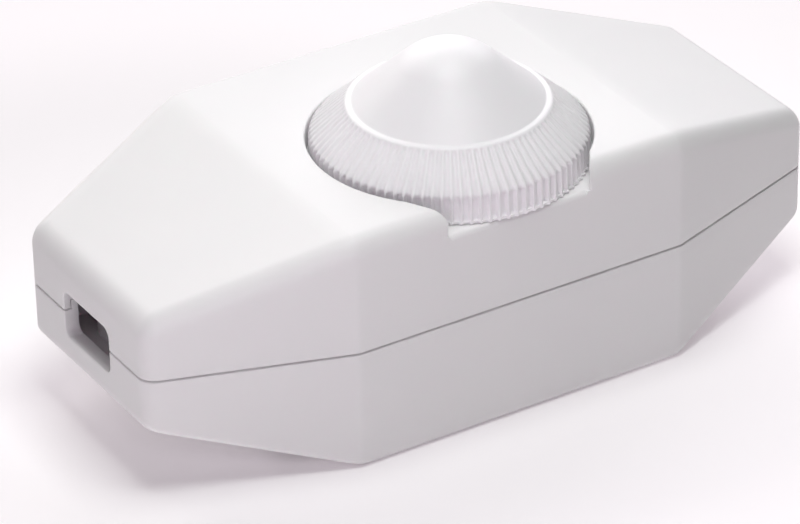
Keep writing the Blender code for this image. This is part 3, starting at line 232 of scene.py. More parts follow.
def add_soft_box(name, azimuth, elevation, distance, side, watts, colour):
    """A square area light that faces the aim point, hidden from the camera."""
    lamp = bpy.data.lights.new(name, "AREA")
    lamp.size = side
    lamp.energy = watts
    lamp.color = colour
    box = bpy.data.objects.new(name, lamp)
    towards = direction(math.radians(azimuth), math.radians(elevation))
    box.matrix_world = Matrix.Translation(AIM + towards * distance) @ (
        towards.to_track_quat("Z", "Y").to_matrix().to_4x4())
    box.visible_camera = False
    bpy.context.scene.collection.objects.link(box)


for name, settings in SOFT_BOXES.items():
    add_soft_box(name, *settings)
print(len(SOFT_BOXES), "soft boxes")

# %% [markdown]
# ## From numbers to a mesh
#
# Every new skin starts as a grid of points: its rows follow a profile and its columns run
# round a closed outline. The points come out of numpy as whole arrays, and the quads between
# them are an array of indices too, so no loop walks over the vertices. After that, points
# that fall together are merged, which closes poles and centre lines, and the normals are
# turned outwards.

# %% Grids, solids and cuts
MERGE_DISTANCE = 0.0005 * MM
SHARP_ANGLE = math.radians(38)


def ring_faces(rows, columns):
    """Quads between the rows of a grid whose last column meets its first."""
    index = np.arange(rows * columns).reshape(rows, columns)
    right = np.roll(index, -1, axis=1)
    return np.stack([index[:-1], index[1:], right[1:], right[:-1]], axis=-1).reshape(-1, 4)


def add_piece(name, points, faces):
    """Make an object from points and faces, merge what coincides and face it outwards."""
    mesh = bpy.data.meshes.new(name)
    mesh.from_pydata(np.asarray(points).reshape(-1, 3).tolist(), [], faces)
    shape = bmesh.new()
    shape.from_mesh(mesh)
    bmesh.ops.remove_doubles(shape, verts=shape.verts, dist=MERGE_DISTANCE)
    bmesh.ops.recalc_face_normals(shape, faces=shape.faces)
    shape.to_mesh(mesh)
    shape.free()
    piece = bpy.data.objects.new(name, mesh)
    bpy.context.scene.collection.objects.link(piece)
    return piece


def capped_solid(name, rows):
    """A closed solid from rows of points (levels, columns, 3), with a flat cap at both ends."""
    levels, columns = rows.shape[:2]
    last = (levels - 1) * columns
    faces = ring_faces(levels, columns).tolist()
    faces += [list(range(columns)), list(range(last, last + columns))]
    return add_piece(name, rows, faces)


def turned_solid(name, profile, place, columns=48):
    """A turned solid: each (radius, height) of the profile is carried round an upright axis."""
    angle = np.linspace(0, math.tau, columns, endpoint=False)
    radius, height = np.array(profile).T
    x = place[0] + radius[:, None] * np.cos(angle)
    y = place[1] + radius[:, None] * np.sin(angle)
    z = np.broadcast_to(height[:, None], x.shape)
    return capped_solid(name, np.stack([x, y, z], axis=-1))


def box_solid(name, low, high):
    """A block between two corners."""
    x = np.array([low[0], high[0], high[0], low[0]])
    y = np.array([low[1], low[1], high[1], high[1]])
    rows = [np.stack([x, y, np.full(4, z)], axis=-1) for z in (low[2], high[2])]
    return capped_solid(name, np.array(rows))


def cut(piece, tool, operation="DIFFERENCE"):
    """Apply a Boolean with the tool, remove the tool and keep the result as the mesh."""
    change = piece.modifiers.new(tool.name, "BOOLEAN")
    change.object = tool
    change.operation = operation
    change.solver = "EXACT"
    view = bpy.context.evaluated_depsgraph_get()
    result = bpy.data.meshes.new_from_object(piece.evaluated_get(view))
    piece.modifiers.clear()
    piece.data = result
    bpy.data.objects.remove(tool)


def shade(piece, angle=SHARP_ANGLE):
    """Smooth shading, with a crease wherever two faces meet at more than the angle."""
    piece.data.shade_smooth()
    piece.data.set_sharp_from_angle(angle=angle)


print("a grid of 3 rows and 4 columns has", len(ring_faces(3, 4)), "faces")

# %% [markdown]
# ## The outline of the case
#
# Seen from above, the case is a long octagon: a straight middle and two ends that taper to
# small end faces. Its corners are rounded. A rounded polygon is a smaller polygon with a disc
# rolled round it, so each column of the grid is kept as a core point and the direction in
# which the disc sticks out. Any inset of the outline is then one sum, core + (radius -
# inset) x direction, and stays exactly parallel. The CAD boxes give length, width and height.
# The straight middle and the end faces are this case's own proportions.

# %% Outline of the case
low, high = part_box("lower_shell")
HALF_LENGTH = high.x
HALF_WIDTH = high.y
CASE_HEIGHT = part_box("upper_shell")[1].z
HALF_MIDDLE = 24.25 * MM         # half the straight middle
HALF_END = 15.15 * MM            # half the width of an end face
END_TOP = 24.85 * MM             # roof height at the end face
END_BOTTOM = 9.5 * MM            # underside height at the end face
CORNER_RADIUS = 2.7 * MM
SIDE_TAPER = (HALF_WIDTH - HALF_END) / (HALF_LENGTH - HALF_MIDDLE)
ROOF_TAPER = (CASE_HEIGHT - END_TOP) / (HALF_LENGTH - HALF_MIDDLE)
UNDERSIDE_TAPER = END_BOTTOM / (HALF_LENGTH - HALF_MIDDLE)
CORNER_STEPS = 12
MIDDLE_STEPS = 30
TAPER_STEPS = 18
END_STEPS = 16


def octagon(inset):
    """Corners of the case's plan, drawn in by an inset, counter-clockwise from the front left."""
    slant = math.hypot(1.0, SIDE_TAPER)
    side = HALF_WIDTH - inset
    end = HALF_LENGTH - inset
    corner = HALF_MIDDLE - inset * (slant - 1.0) / SIDE_TAPER
    end_side = HALF_END + SIDE_TAPER * inset - inset * slant
    return np.array([
        (-corner, -side), (corner, -side), (end, -end_side), (end, end_side),
        (corner, side), (-corner, side), (-end, end_side), (-end, -end_side)])


def outline_columns():
    """Core points and outward directions of every column round the rounded octagon."""
    corners = octagon(CORNER_RADIUS)
    steps = [MIDDLE_STEPS, TAPER_STEPS, END_STEPS, TAPER_STEPS] * 2
    edges = np.roll(corners, -1, axis=0) - corners
    heading = np.unwrap(np.arctan2(edges[:, 1], edges[:, 0])) - math.pi / 2
    cores, angles = [], []
    for k, count in enumerate(steps):
        along = np.linspace(0, 1, count, endpoint=False)[1:, None]
        cores.append(corners[k] + along * edges[k])
        angles.append(np.full(count - 1, heading[k]))
        after = (k + 1) % len(steps)
        turn = (heading[after] - heading[k]) % math.tau
        angles.append(heading[k] + turn * np.linspace(0, 1, CORNER_STEPS + 1))
        cores.append(np.broadcast_to(corners[after], (CORNER_STEPS + 1, 2)))
    angles = np.concatenate(angles)
    return np.concatenate(cores), np.stack([np.cos(angles), np.sin(angles)], axis=-1)


CORES, OUTWARD = outline_columns()
print(len(CORES), "columns round the case")

# %% [markdown]
# ## Roof and underside as heights
#
# The roof is level over the middle and slopes down to both ends, and the underside slopes up
# to meet it. Where level and slope meet, the mould has a soft fold. A height that depends only
# on x describes this: the distance past the fold, rounded off by a short parabola. Inner faces
# are the same planes moved in by the wall, so they use the same function with another start.

# %% Heights of roof and underside
FOLD_SOFTNESS = 1.4 * MM         # half the length over which a fold bends


def past_fold(x, start=HALF_MIDDLE, softness=FOLD_SOFTNESS):
    """How far |x| lies past the fold, with a parabola (t+1)^2/4 between -1 and 1 softness."""
    t = (np.abs(x) - start) / softness
    return softness * np.where(t < -1, 0, np.where(t > 1, t, (t + 1) ** 2 / 4))


def roof(x, wall=0.0):
    """Height of the roof, or of the ceiling one wall below it."""
    start = HALF_MIDDLE - wall * (math.hypot(1, ROOF_TAPER) - 1) / ROOF_TAPER
    return CASE_HEIGHT - wall - ROOF_TAPER * past_fold(x, start)


def underside(x, wall=0.0):
    """Height of the underside, or of the floor one wall above it."""
    start = HALF_MIDDLE - wall * (math.hypot(1, UNDERSIDE_TAPER) - 1) / UNDERSIDE_TAPER
    return low.z + wall + UNDERSIDE_TAPER * past_fold(x, start)


print("roof at the end face", round(float(roof(HALF_LENGTH)) / MM, 2), "mm")

# %% [markdown]
# ## A shell as one grid
#
# Each half of the case is an injection-moulded tray of even wall. It could be modelled as a
# block, hollowed out and bevelled, but bevels round a tapered block break up at the corners.
# Here the whole shell, outside and inside, is a single grid. A row is the outline at some
# inset and at some height. The rows start on the centre line of the outer face, run out to
# the rounded edge, along the wall to the seam, over the step of the seam, back along the inner
# wall and in again to the centre line. The edge's quarter circle is measured down from the
# roof's own height, so it flows round the ends and over the folds without a break.

# %% Rows of a shell
WALL = 2.0 * MM
ROOF_EDGE_RADIUS = 2.5 * MM
UNDERSIDE_EDGE_RADIUS = 1.1 * MM
SEAM_EDGE_RADIUS = 0.12 * MM
SEAM_LOW = 16.65 * MM            # rim of the lower shell
SEAM_HIGH = 16.95 * MM           # rim of the upper shell, a hair above it
TONGUE_SETBACK = 1.1 * MM
TONGUE_GAP = 0.15 * MM
TONGUE_TOP = high.z
EDGE_STEPS = 12
SMALL_STEPS = 4
# Shares of the way from the wall to the centre line. The last row is close to the edge, so
# that the rounding fades out in a narrow strip and the flat face stays flat.
INWARD_SHARES = (1.0, 0.7, 0.4, 0.15, 0.02)
SIDE_SHARES = (0.06, 0.35, 0.7, 0.94)   # and shares of the way down the side to the seam
END_CROWDING = 0.3               # past the fold, centre points crowd together by this much


def outline_row(inset, height):
    """One row: the outline at an inset, at a height given as a number or a function of x."""
    plan = CORES + (CORNER_RADIUS - inset) * OUTWARD
    level = height(plan[:, 0]) if callable(height) else np.full(len(plan), height)
    return np.column_stack([plan, level])


def centre_rows(inset, height):
    """Rows from the centre line out to an inset: plan points slide along straight lines."""
    plan = CORES + (CORNER_RADIUS - inset) * OUTWARD
    bend = HALF_MIDDLE + FOLD_SOFTNESS
    reach = np.abs(CORES[:, 0])
    along = np.where(reach < bend, reach, bend + END_CROWDING * (reach - bend))
    centre = np.column_stack([np.sign(CORES[:, 0]) * along, np.zeros(len(plan))])
    rows = []
    for share in INWARD_SHARES:
        flat = plan + share * (centre - plan)
        rows.append(np.column_stack([flat, height(flat[:, 0])]))
    return rows


def edge_rows(radius, height, sign):
    """Quarter round from a flat face to the wall: inset r(1-sin a), drop r(1-cos a)."""
    rows = []
    for angle in np.linspace(0, math.pi / 2, EDGE_STEPS + 1):
        inset, drop = radius * (1 - math.sin(angle)), radius * (1 - math.cos(angle))
        rows.append(outline_row(inset, lambda x: height(x) - sign * drop))
    return rows


def shell_rows(face, edge_radius, sign, rim, steps):
    """All rows of a shell; sign is 1 for the upper one (drops go down), -1 for the lower."""
    rows = centre_rows(edge_radius, face) + edge_rows(edge_radius, face, sign)
    wall_start = rows[-1]
    wall_end = outline_row(0.0, rim + sign * SEAM_EDGE_RADIUS)
    for share in SIDE_SHARES:
        rows.append(wall_start + share * (wall_end - wall_start))
    for angle in np.linspace(0, math.pi / 2, SMALL_STEPS + 1):
        inset = SEAM_EDGE_RADIUS * (1 - math.cos(angle))
        rows.append(outline_row(inset, rim + sign * SEAM_EDGE_RADIUS * (1 - math.sin(angle))))
    rows += [outline_row(inset, height) for inset, height in steps]

    def inner(x):
        return face(x, WALL)

    rows.append(outline_row(WALL, inner))
    return np.array(rows + centre_rows(WALL + SEAM_EDGE_RADIUS, inner)[::-1])


def add_shell(name, face, edge_radius, sign, rim, steps):
    """Turn a shell's rows into one closed skin."""
    rows = shell_rows(face, edge_radius, sign, rim, steps)
    return add_piece(name, rows, ring_faces(*rows.shape[:2]).tolist())


upper = add_shell("upper_case_half", roof, ROOF_EDGE_RADIUS, 1, SEAM_HIGH, [
    (TONGUE_SETBACK - TONGUE_GAP, SEAM_HIGH),
    (TONGUE_SETBACK - TONGUE_GAP, TONGUE_TOP + TONGUE_GAP),
    (WALL, TONGUE_TOP + TONGUE_GAP),
])
lower = add_shell("lower_case_half", underside, UNDERSIDE_EDGE_RADIUS, -1, SEAM_LOW, [
    (TONGUE_SETBACK, SEAM_LOW),
    (TONGUE_SETBACK, TONGUE_TOP),
    (WALL, TONGUE_TOP),
])
print("shell skins:", len(upper.data.polygons), "and", len(lower.data.polygons), "faces")

# %% [markdown]
# ## Posts and bosses inside
#
# Four bosses take the screws that hold the halves together, two posts carry the board at the
# back and two at the front, and four short ones take the screws of the cord clamps. A saddle
# between those four is what each cord is pressed against. The round ones are plain turned
# solids joined to the shells. Their places are read from the screws' own boxes, because a boss
# always stands round its screw.

# %% Posts and bosses
HOUSING_BOSS_RADIUS = 3.5 * MM
CLAMP_POST_RADIUS = 3.0 * MM
BOARD_POST_RADIUS = 2.4 * MM
SADDLE_SIZE = (3.0 * MM, 11.0 * MM)   # the rib that a cord is pressed against
SADDLE_TOP = 12.9 * MM
BORE_GAP = 0.15 * MM
ROOT_DEPTH = 0.6 * MM            # how far a post runs into the wall that it stands on


def middle_of(node):
    """Centre of a CAD node's box."""
    corner_low, corner_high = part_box(node)
    return (corner_low + corner_high) / 2


def node_group(prefix):
    """The CAD nodes whose names start with a prefix, in order."""
    return sorted(name for name in frame["nodes"] if name.startswith(prefix))


def round_bar(place, radius, bottom, top):
    """A round bar: a post where it is joined on, a hole where it is cut away."""
    return turned_solid("round_bar", [(radius, bottom), (radius, top)], place)


def inner_face(face, place, sign):
    """Height at which a post meets the wall it stands on, sunk a little into it."""
    return float(face(np.array([place.x]), WALL)[0]) - sign * ROOT_DEPTH


HOUSING_SCREWS = [middle_of(name) for name in node_group("housing_screw")]
CLAMP_SCREWS = [middle_of(name) for name in node_group("clamp_screw")]
BOARD_SCREWS = [middle_of(name) for name in node_group("board_screw")]
BOARD_POST_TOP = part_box("circuit_board")[0].z - BORE_GAP
CLAMP_POST_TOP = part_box("cord_clamp_left")[0].z - BORE_GAP
BOARD_POSTS = BOARD_SCREWS + [Vector((place.x, -place.y, 0)) for place in BOARD_SCREWS]

for place in HOUSING_SCREWS:
    foot = inner_face(underside, place, 1)
    cut(lower, round_bar(place, HOUSING_BOSS_RADIUS, foot, SEAM_LOW), "UNION")
    ceiling = inner_face(roof, place, -1)
    cut(upper, round_bar(place, HOUSING_BOSS_RADIUS, SEAM_HIGH, ceiling), "UNION")
for places, radius, top in ((BOARD_POSTS, BOARD_POST_RADIUS, BOARD_POST_TOP),
                            (CLAMP_SCREWS, CLAMP_POST_RADIUS, CLAMP_POST_TOP)):
    for place in places:
        cut(lower, round_bar(place, radius, inner_face(underside, place, 1), top), "UNION")
for side in (-1, 1):
    foot = inner_face(underside, Vector((CLAMP_SCREWS[0].x, 0, 0)), 1)
    middle = side * abs(CLAMP_SCREWS[0].x)
    half_x, half_y = SADDLE_SIZE[0] / 2, SADDLE_SIZE[1] / 2
    saddle_high = (middle + half_x, half_y, SADDLE_TOP)
    saddle = box_solid("saddle", (middle - half_x, -half_y, foot), saddle_high)
    cut(lower, saddle, "UNION")
print(len(HOUSING_SCREWS) + len(BOARD_POSTS) + len(CLAMP_SCREWS), "posts in the lower half")

# %% [markdown]
# ## Screw holes
#
# The housing screws go in from below. Each one sits in a deep counterbore whose floor its
# head bears on, and its thread bites into a narrower hole in the upper boss. The clearance
# and the depth follow from the screw's box.

# %% Screw holes
SCREW_SHANK_RADIUS = 1.4 * MM
CLAMP_SHANK_RADIUS = 1.2 * MM
BOARD_SHANK_RADIUS = 1.1 * MM
HEAD_HEIGHT = 1.8 * MM

for name, place in zip(node_group("housing_screw"), HOUSING_SCREWS):
    screw_low, screw_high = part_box(name)
    head_radius = (screw_high.x - screw_low.x) / 2 + BORE_GAP
    shank = SCREW_SHANK_RADIUS + BORE_GAP
    seat = screw_low.z + HEAD_HEIGHT + BORE_GAP
    cut(lower, turned_solid("counterbore", [
        (head_radius, low.z - WALL), (head_radius, seat),
        (shank, seat), (shank, TONGUE_TOP + WALL)], place))
    cut(upper, round_bar(place, shank, SEAM_HIGH - WALL, screw_high.z + BORE_GAP))
for prefix, radius in (("clamp_screw", CLAMP_SHANK_RADIUS), ("board_screw", BOARD_SHANK_RADIUS)):
    for name in node_group(prefix):
        pilot_low, pilot_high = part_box(name)
        bottom = pilot_low.z - BORE_GAP
        cut(lower, round_bar(middle_of(name), radius + BORE_GAP, bottom, pilot_high.z))
print("screw heads sit", round((screw_low.z - low.z) / MM, 2), "mm above the underside")

# %% [markdown]
# ## Cutters with a rounded lip
#
# No moulded edge is knife-sharp. The dial's pocket and the cord openings end in a tiny round
# lip that catches the light, and it tells the eye that the part is plastic and how big it is.
# A Bevel modifier tends to fail on an edge that a Boolean has just made across a rounding. So
# the cutter itself carries the lip: near the surface its outline swells in a quarter circle,
# and what it leaves standing is already round. The outline is a closed path with outward
# directions, and each row pushes it out by some amount, at some height.

# %% Lipped cutter
LIP_STEPS = 6
LIP_STOP = math.radians(80)      # stops short of the tangent, so the cut stays clean
LIP_RUN = 0.7 * MM               # then it runs straight on, out of the surface,
LIP_RUN_LIMIT = 3                # but never further than this many lips


def lipped_rows(plan, outward, floor, surface, lip, top):
    """Rows of a cutter: push l(1-cos b), height surface - l + l sin b, then straight on.

    plan and outward are (columns, 2); surface and lip are one value or one per column.
    """
    count = len(plan)
    surface = np.broadcast_to(surface, count)
    lip = np.broadcast_to(lip, count)
    swell = [(np.zeros(count), np.broadcast_to(floor, count))]
    for angle in np.linspace(0, LIP_STOP, LIP_STEPS + 1):
        swell.append((lip * (1 - math.cos(angle)), surface - lip + lip * math.sin(angle)))
    run = np.minimum(LIP_RUN, lip * LIP_RUN_LIMIT)
    push, height = swell[-1]
    push, height = push + run * math.sin(LIP_STOP), height + run * math.cos(LIP_STOP)
    swell += [(push, height), (push, np.broadcast_to(top, count))]
    return np.array([np.column_stack([plan + out[:, None] * outward, z]) for out, z in swell])


print("a lip has", LIP_STEPS + 1, "rows")

# %% [markdown]
# ## The dial's pocket
#
# The dial sits in a round pocket whose centre is nearer the front, so the pocket breaks out
# of the front side and the thumb can reach the dial from there. In plan the path is one large
# arc, then two slanted walls, each ending in a small round corner at the side face. The roof
# has already curved down where the slanted walls cross it, and so the lip follows the height
# of the rounded edge.

# %% Pocket and bushing hole
dial_low, dial_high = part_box("dial_knob")
AXIS = np.array([(dial_low.x + dial_high.x) / 2, (dial_low.y + dial_high.y) / 2])
POCKET_RADIUS = (dial_high.x - dial_low.x) / 2 + 0.25 * MM
POCKET_FLOOR = dial_low.z - 0.15 * MM
# Each side of the break-out: x of its mouth in the side face, and slant of its wall.
MOUTHS = {1: (9.55 * MM, math.radians(38)), -1: (-10.45 * MM, math.radians(30))}
POCKET_LIP = 0.3 * MM
LEAST_LIP = 0.001 * MM           # what is left of the lip at the mouth
LIP_FADE = 2 * MM                # it fades out over this distance from the side face
MOUTH_RADIUS = 0.5 * MM
FRONT_EDGE_RADIUS = 0.7 * MM
FRONT_EDGE_SWEEP = (math.radians(93), math.radians(177))
POCKET_WALL = 2.0 * MM
BUSHING_RADIUS = 4.5 * MM
ABOVE = CASE_HEIGHT + 8 * MM     # where the cutter ends, clear of the roof
HALF_ARC_POINTS = 91
SLANT_POINTS = 14
CORNER_POINTS = 9
CUP_POINTS = 161


def fan(start, stop, steps):
    """Unit directions from one angle to another."""
    angle = np.linspace(start, stop, steps)
    return np.stack([np.cos(angle), np.sin(angle)], axis=-1)


def half_path(side):
    """One side of the pocket's plan, from its back round to the front, and its directions.

    The slanted wall meets the circle where |mouth + t inward| = radius, solved for t. The
    round corner at the mouth touches both the slanted wall and the side face.
    """
    mouth_x, slant = MOUTHS[side]
    mouth = np.array([side * (mouth_x - AXIS[0]), -HALF_WIDTH - AXIS[1]])
    inward = np.array([math.sin(slant), math.cos(slant)])
    facing = np.array([math.cos(slant), -math.sin(slant)])
    half = mouth @ inward
    travel = -half - math.sqrt(half ** 2 - (mouth @ mouth - POCKET_RADIUS ** 2))
    root = mouth + travel * inward
    round_way = fan(math.pi / 2, math.atan2(root[1], root[0]), HALF_ARC_POINTS)
    bend_way = fan(-slant, -math.pi / 2, CORNER_POINTS)
    sideways = np.array([MOUTH_RADIUS / facing[0], 0.0])
    centre = mouth + inward * (MOUTH_RADIUS / inward[1]) + sideways
    corner = centre - MOUTH_RADIUS * bend_way * np.array([1.0, -1.0])
    wall = root + np.linspace(0, 1, SLANT_POINTS)[1:-1, None] * (corner[0] - root)
    beyond = [(corner[-1, 0], -CASE_HEIGHT)]
    plan = np.concatenate([round_way * POCKET_RADIUS, wall, corner, beyond])
    way = np.concatenate([round_way, np.broadcast_to(facing, wall.shape), bend_way, [(1.0, 0.0)]])
    turn = np.array([side, 1.0])
    return AXIS + plan * turn, way * turn


def edge_height(y):
    """Height of the case's roof or rounded front edge over a y: a quarter circle."""
    inset = np.clip(HALF_WIDTH - np.abs(y), 0, ROOF_EDGE_RADIUS)
    rise = np.sqrt(ROOF_EDGE_RADIUS ** 2 - (ROOF_EDGE_RADIUS - inset) ** 2)
    return CASE_HEIGHT - ROOF_EDGE_RADIUS + rise


def add_pocket_cutter():
    """The whole pocket; the lip fades out towards the mouth, where the roof curves down."""
    right, left = half_path(1), half_path(-1)
    plan = np.concatenate([right[0], left[0][:0:-1]])
    way = np.concatenate([right[1], left[1][:0:-1]])
    surface = edge_height(plan[:, 1])
    lip = POCKET_LIP * np.clip((plan[:, 1] + HALF_WIDTH) / LIP_FADE, 0, 1) + LEAST_LIP
    rows = lipped_rows(plan, way, POCKET_FLOOR, surface, lip, ABOVE)
    return capped_solid("pocket", rows)


def add_front_edge_cutter():
    """A bar that leaves the pocket floor's front edge as a quarter round."""
    r = FRONT_EDGE_RADIUS
    y, z = -HALF_WIDTH, POCKET_FLOOR
    proud = z + r / 9
    curve = np.array([y + r, z - r]) + r * fan(*FRONT_EDGE_SWEEP, CORNER_POINTS)
    outside = np.array([(y - r, z - r), (y - r, proud), (y + r, proud)])
    section = np.concatenate([curve, outside])
    ends = [MOUTHS[side][0] + side * MOUTH_RADIUS / 2 for side in (-1, 1)]
    rows = [np.column_stack([np.full(len(section), x), section]) for x in ends]
    return capped_solid("front_edge", np.array(rows))


def add_pocket_cup():
    """The wall under and round the pocket, cut off flat where the case's side is."""
    plan = AXIS + (POCKET_RADIUS + POCKET_WALL) * fan(0, math.tau, CUP_POINTS)[:-1]
    plan[:, 1] = np.maximum(plan[:, 1], -HALF_WIDTH + WALL / 2)
    levels = (POCKET_FLOOR - POCKET_WALL, CASE_HEIGHT - WALL / 2)
    rows = [np.column_stack([plan, np.full(len(plan), level)]) for level in levels]
    return capped_solid("cup", np.array(rows))


cut(upper, add_pocket_cup(), "UNION")
cut(upper, add_pocket_cutter())
cut(upper, add_front_edge_cutter())
cut(upper, round_bar(AXIS, BUSHING_RADIUS + BORE_GAP,
                     POCKET_FLOOR - 2 * POCKET_WALL, POCKET_FLOOR + WALL))
print("pocket radius and floor", [round(v / MM, 2) for v in (POCKET_RADIUS, POCKET_FLOOR)], "mm")

# %% [markdown]
# ## Cord openings
#
# The lamp's flex enters through a rounded slot in each end face, half of it in each shell.
# The cutter is the same kind of lipped solid, made lying flat and then turned so that its
# height points out of the end face.

# %% Cord openings
OPENING_HALF_WIDTH = 5.9 * MM
OPENING_BOTTOM = 13.3 * MM
OPENING_TOP = 19.8 * MM
OPENING_CORNER = 1.2 * MM
OPENING_LIP = 0.2 * MM
OPENING_DEPTH = WALL + 0.5 * MM


def rounded_slot(half_width, bottom, top, corner, steps=8):
    """A rectangle with round corners as points and outward directions."""
    centres = np.array([
        (half_width - corner, top - corner), (corner - half_width, top - corner),
        (corner - half_width, bottom + corner), (half_width - corner, bottom + corner)])
    angle = np.linspace(0, math.pi / 2, steps + 1) + np.arange(4)[:, None] * math.pi / 2
    way = np.stack([np.cos(angle), np.sin(angle)], axis=-1)
    plan = centres[:, None] + corner * way
    return plan.reshape(-1, 2), way.reshape(-1, 2)


def opening_cutter(side):
    """A slot through one end face; its own x, y and z become y, z and outwards."""
    plan, way = rounded_slot(OPENING_HALF_WIDTH, OPENING_BOTTOM, OPENING_TOP, OPENING_CORNER)
    rows = lipped_rows(plan, way, -OPENING_DEPTH, 0.0, OPENING_LIP, WALL)
    placed = np.stack([side * (HALF_LENGTH + rows[..., 2]), rows[..., 0], rows[..., 1]], axis=-1)
    return capped_solid("opening", placed)


for side in (-1, 1):
    cut(upper, opening_cutter(side))
    cut(lower, opening_cutter(side))
for piece, node in ((upper, "upper_shell"), (lower, "lower_shell")):
    shade(piece)
    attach(piece, "case")
    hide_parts(node)
print("case halves:", len(upper.data.polygons), "and", len(lower.data.polygons), "faces")

# %% [markdown]
# ## The dial
#
# The dial is one moulding: a thin foot, an upright wall with ribs for the thumb, a ribbed
# slope, a smooth ring and a smooth cone with a round top. Its outside is a function of two
# parameters. The profile gives radius, height and the direction in which the surface faces;
# the angle round the axis gives how deep a groove is there. The depth is zero on top of a rib
# and full between two ribs, and it fades out where the ribs end. A few columns are enough for
# each rib if they stand where its flanks bend, so they are spaced unevenly on purpose.

# %% Profile of the dial
FOOT_RADIUS = (dial_high.x - dial_low.x) / 2
FOOT_HEIGHT = 0.4 * MM
FOOT_LIP = 0.1 * MM
FOOT_BOTTOM = dial_low.z - 0.08 * MM
FOOT_EDGE = 0.12 * MM
RIM_RADIUS = FOOT_RADIUS - 0.2 * MM
RIM_HEIGHT = CASE_HEIGHT + 0.45 * MM
RIM_ROUNDING = 1.1 * MM
BAND_RADIUS = RIM_RADIUS - 4.7 * MM
BAND_HEIGHT = RIM_HEIGHT + 4.25 * MM
LAND_RADIUS = BAND_RADIUS - 0.9 * MM
CONE_SLOPE = math.radians(43)
CONE_TOP_RADIUS = 6.5 * MM
CONE_TOP = BAND_HEIGHT + (LAND_RADIUS - CONE_TOP_RADIUS) * math.tan(CONE_SLOPE)
DOME_RADIUS = CONE_TOP_RADIUS / math.sin(CONE_SLOPE)
RIB_COUNT = 92
WALL_ROWS = (0.0, 0.04, 0.1, 0.4, 0.7)         # shares of the way up the wall
SLOPE_ROWS = (0.7, 0.4)                        # shares of the slope, back from its top
RIB_END_ROWS = np.array([0.75, 0.55, 0.4, 0.25, 0.12, 0.0]) * MM
FOOT_SHARES = (0.45,) * 6 + (0.6, 0.85, 1.0)   # the grooves are shallow round the foot
END_SHARES = (0.95, 0.85, 0.65, 0.4, 0.25)     # and fade out below the ring, not quite to nothing
# Depth of the grooves, then where a rib's top ends and where its flank ends, in shares of the
# pitch: on the upright wall and on the slope.
WALL_RIB = np.array([0.6 * MM, 0.06, 0.27])
SLOPE_RIB = np.array([0.24 * MM, 0.10, 0.40])
FOOT_EDGE_STEPS = 4
BEND_STEPS = 6
# Places across one rib, in shares of the pitch: 0 is the middle of the rib.
RIB_STATIONS = np.array([-0.5, -0.36, -0.27, -0.18, -0.09, 0.0, 0.09, 0.18, 0.27, 0.36])


def arc(centre, radius, start, stop, steps):
    """Points on an arc in the (radius, height) plane, with their outward directions."""
    way = fan(start, stop, steps + 1)
    return np.array(centre) + radius * way, way


def ribbed_profile():
    """Rows of the ribbed part: radius and height, facing, share of the depth, share of slope."""
    foot_top = FOOT_BOTTOM + FOOT_HEIGHT
    edge, _ = arc((FOOT_RADIUS - FOOT_EDGE, FOOT_BOTTOM + FOOT_EDGE), FOOT_EDGE,
                  -math.pi / 2, 0, FOOT_EDGE_STEPS)
    foot_side = np.concatenate([edge, [(FOOT_RADIUS, foot_top)]])
    foot = np.array([FOOT_RADIUS - FOOT_LIP, foot_top])
    rim = np.array([RIM_RADIUS, RIM_HEIGHT])
    band = np.array([BAND_RADIUS, BAND_HEIGHT])
    lean = math.atan2(foot[0] - rim[0], rim[1] - foot[1])
    slope = math.atan2(band[1] - rim[1], rim[0] - band[0])
    up_wall = np.array([-math.sin(lean), math.cos(lean)])
    up_slope = np.array([-math.cos(slope), math.sin(slope)])
    tangent = RIM_ROUNDING * math.tan((math.pi / 2 - slope - lean) / 2)
    wall_way = np.array([math.cos(lean), math.sin(lean)])
    bend, bend_way = arc(rim - tangent * up_wall - RIM_ROUNDING * wall_way, RIM_ROUNDING,
                         lean, math.pi / 2 - slope, BEND_STEPS)
    wall = foot + np.array(WALL_ROWS)[:, None] * (bend[0] - foot)
    back = np.concatenate([np.array(SLOPE_ROWS) * np.linalg.norm(band - bend[-1]), RIB_END_ROWS])
    face = band - back[:, None] * up_slope
    points = np.concatenate([foot_side, wall, bend, face])
    ways = np.concatenate([
        np.broadcast_to((1.0, 0.0), foot_side.shape), np.broadcast_to(wall_way, wall.shape),
        bend_way, np.broadcast_to(bend_way[-1], face.shape)])
    share = np.ones(len(points))
    share[:len(FOOT_SHARES)] = FOOT_SHARES
    share[-len(END_SHARES):] = END_SHARES
    on_slope = np.concatenate([
        np.zeros(len(foot_side) + len(wall)), np.linspace(0, 1, len(bend)), np.ones(len(face))])
    return points, ways, share, on_slope


def rib_grid():
    """The ribbed rows: point = profile - share x depth x (1 - rib) x facing, turned round.

    rib falls from 1 on its top to 0 at the end of its flank along the curve t^2 (3 - 2t).
    """
    points, ways, share, on_slope = ribbed_profile()
    depth, top, flank = (WALL_RIB + on_slope[:, None] * (SLOPE_RIB - WALL_RIB)).T[:, :, None]
    t = np.clip((flank - np.abs(RIB_STATIONS)) / (flank - top), 0, 1)
    sunk = np.tile(share[:, None] * depth * (1 - t * t * (3 - 2 * t)), RIB_COUNT)
    angle = ((np.arange(RIB_COUNT)[:, None] + RIB_STATIONS) * math.tau / RIB_COUNT).ravel()
    radius = points[:, :1] - sunk * ways[:, :1]
    height = points[:, 1:] - sunk * ways[:, 1:]
    x, y = AXIS[0] + radius * np.cos(angle), AXIS[1] + radius * np.sin(angle)
    return np.stack([x, y, height], axis=-1)


ribs = rib_grid()
rib_pitch = math.tau * RIM_RADIUS / RIB_COUNT
print("ribbed grid", ribs.shape[:2], "pitch", round(rib_pitch / MM, 2), "mm")

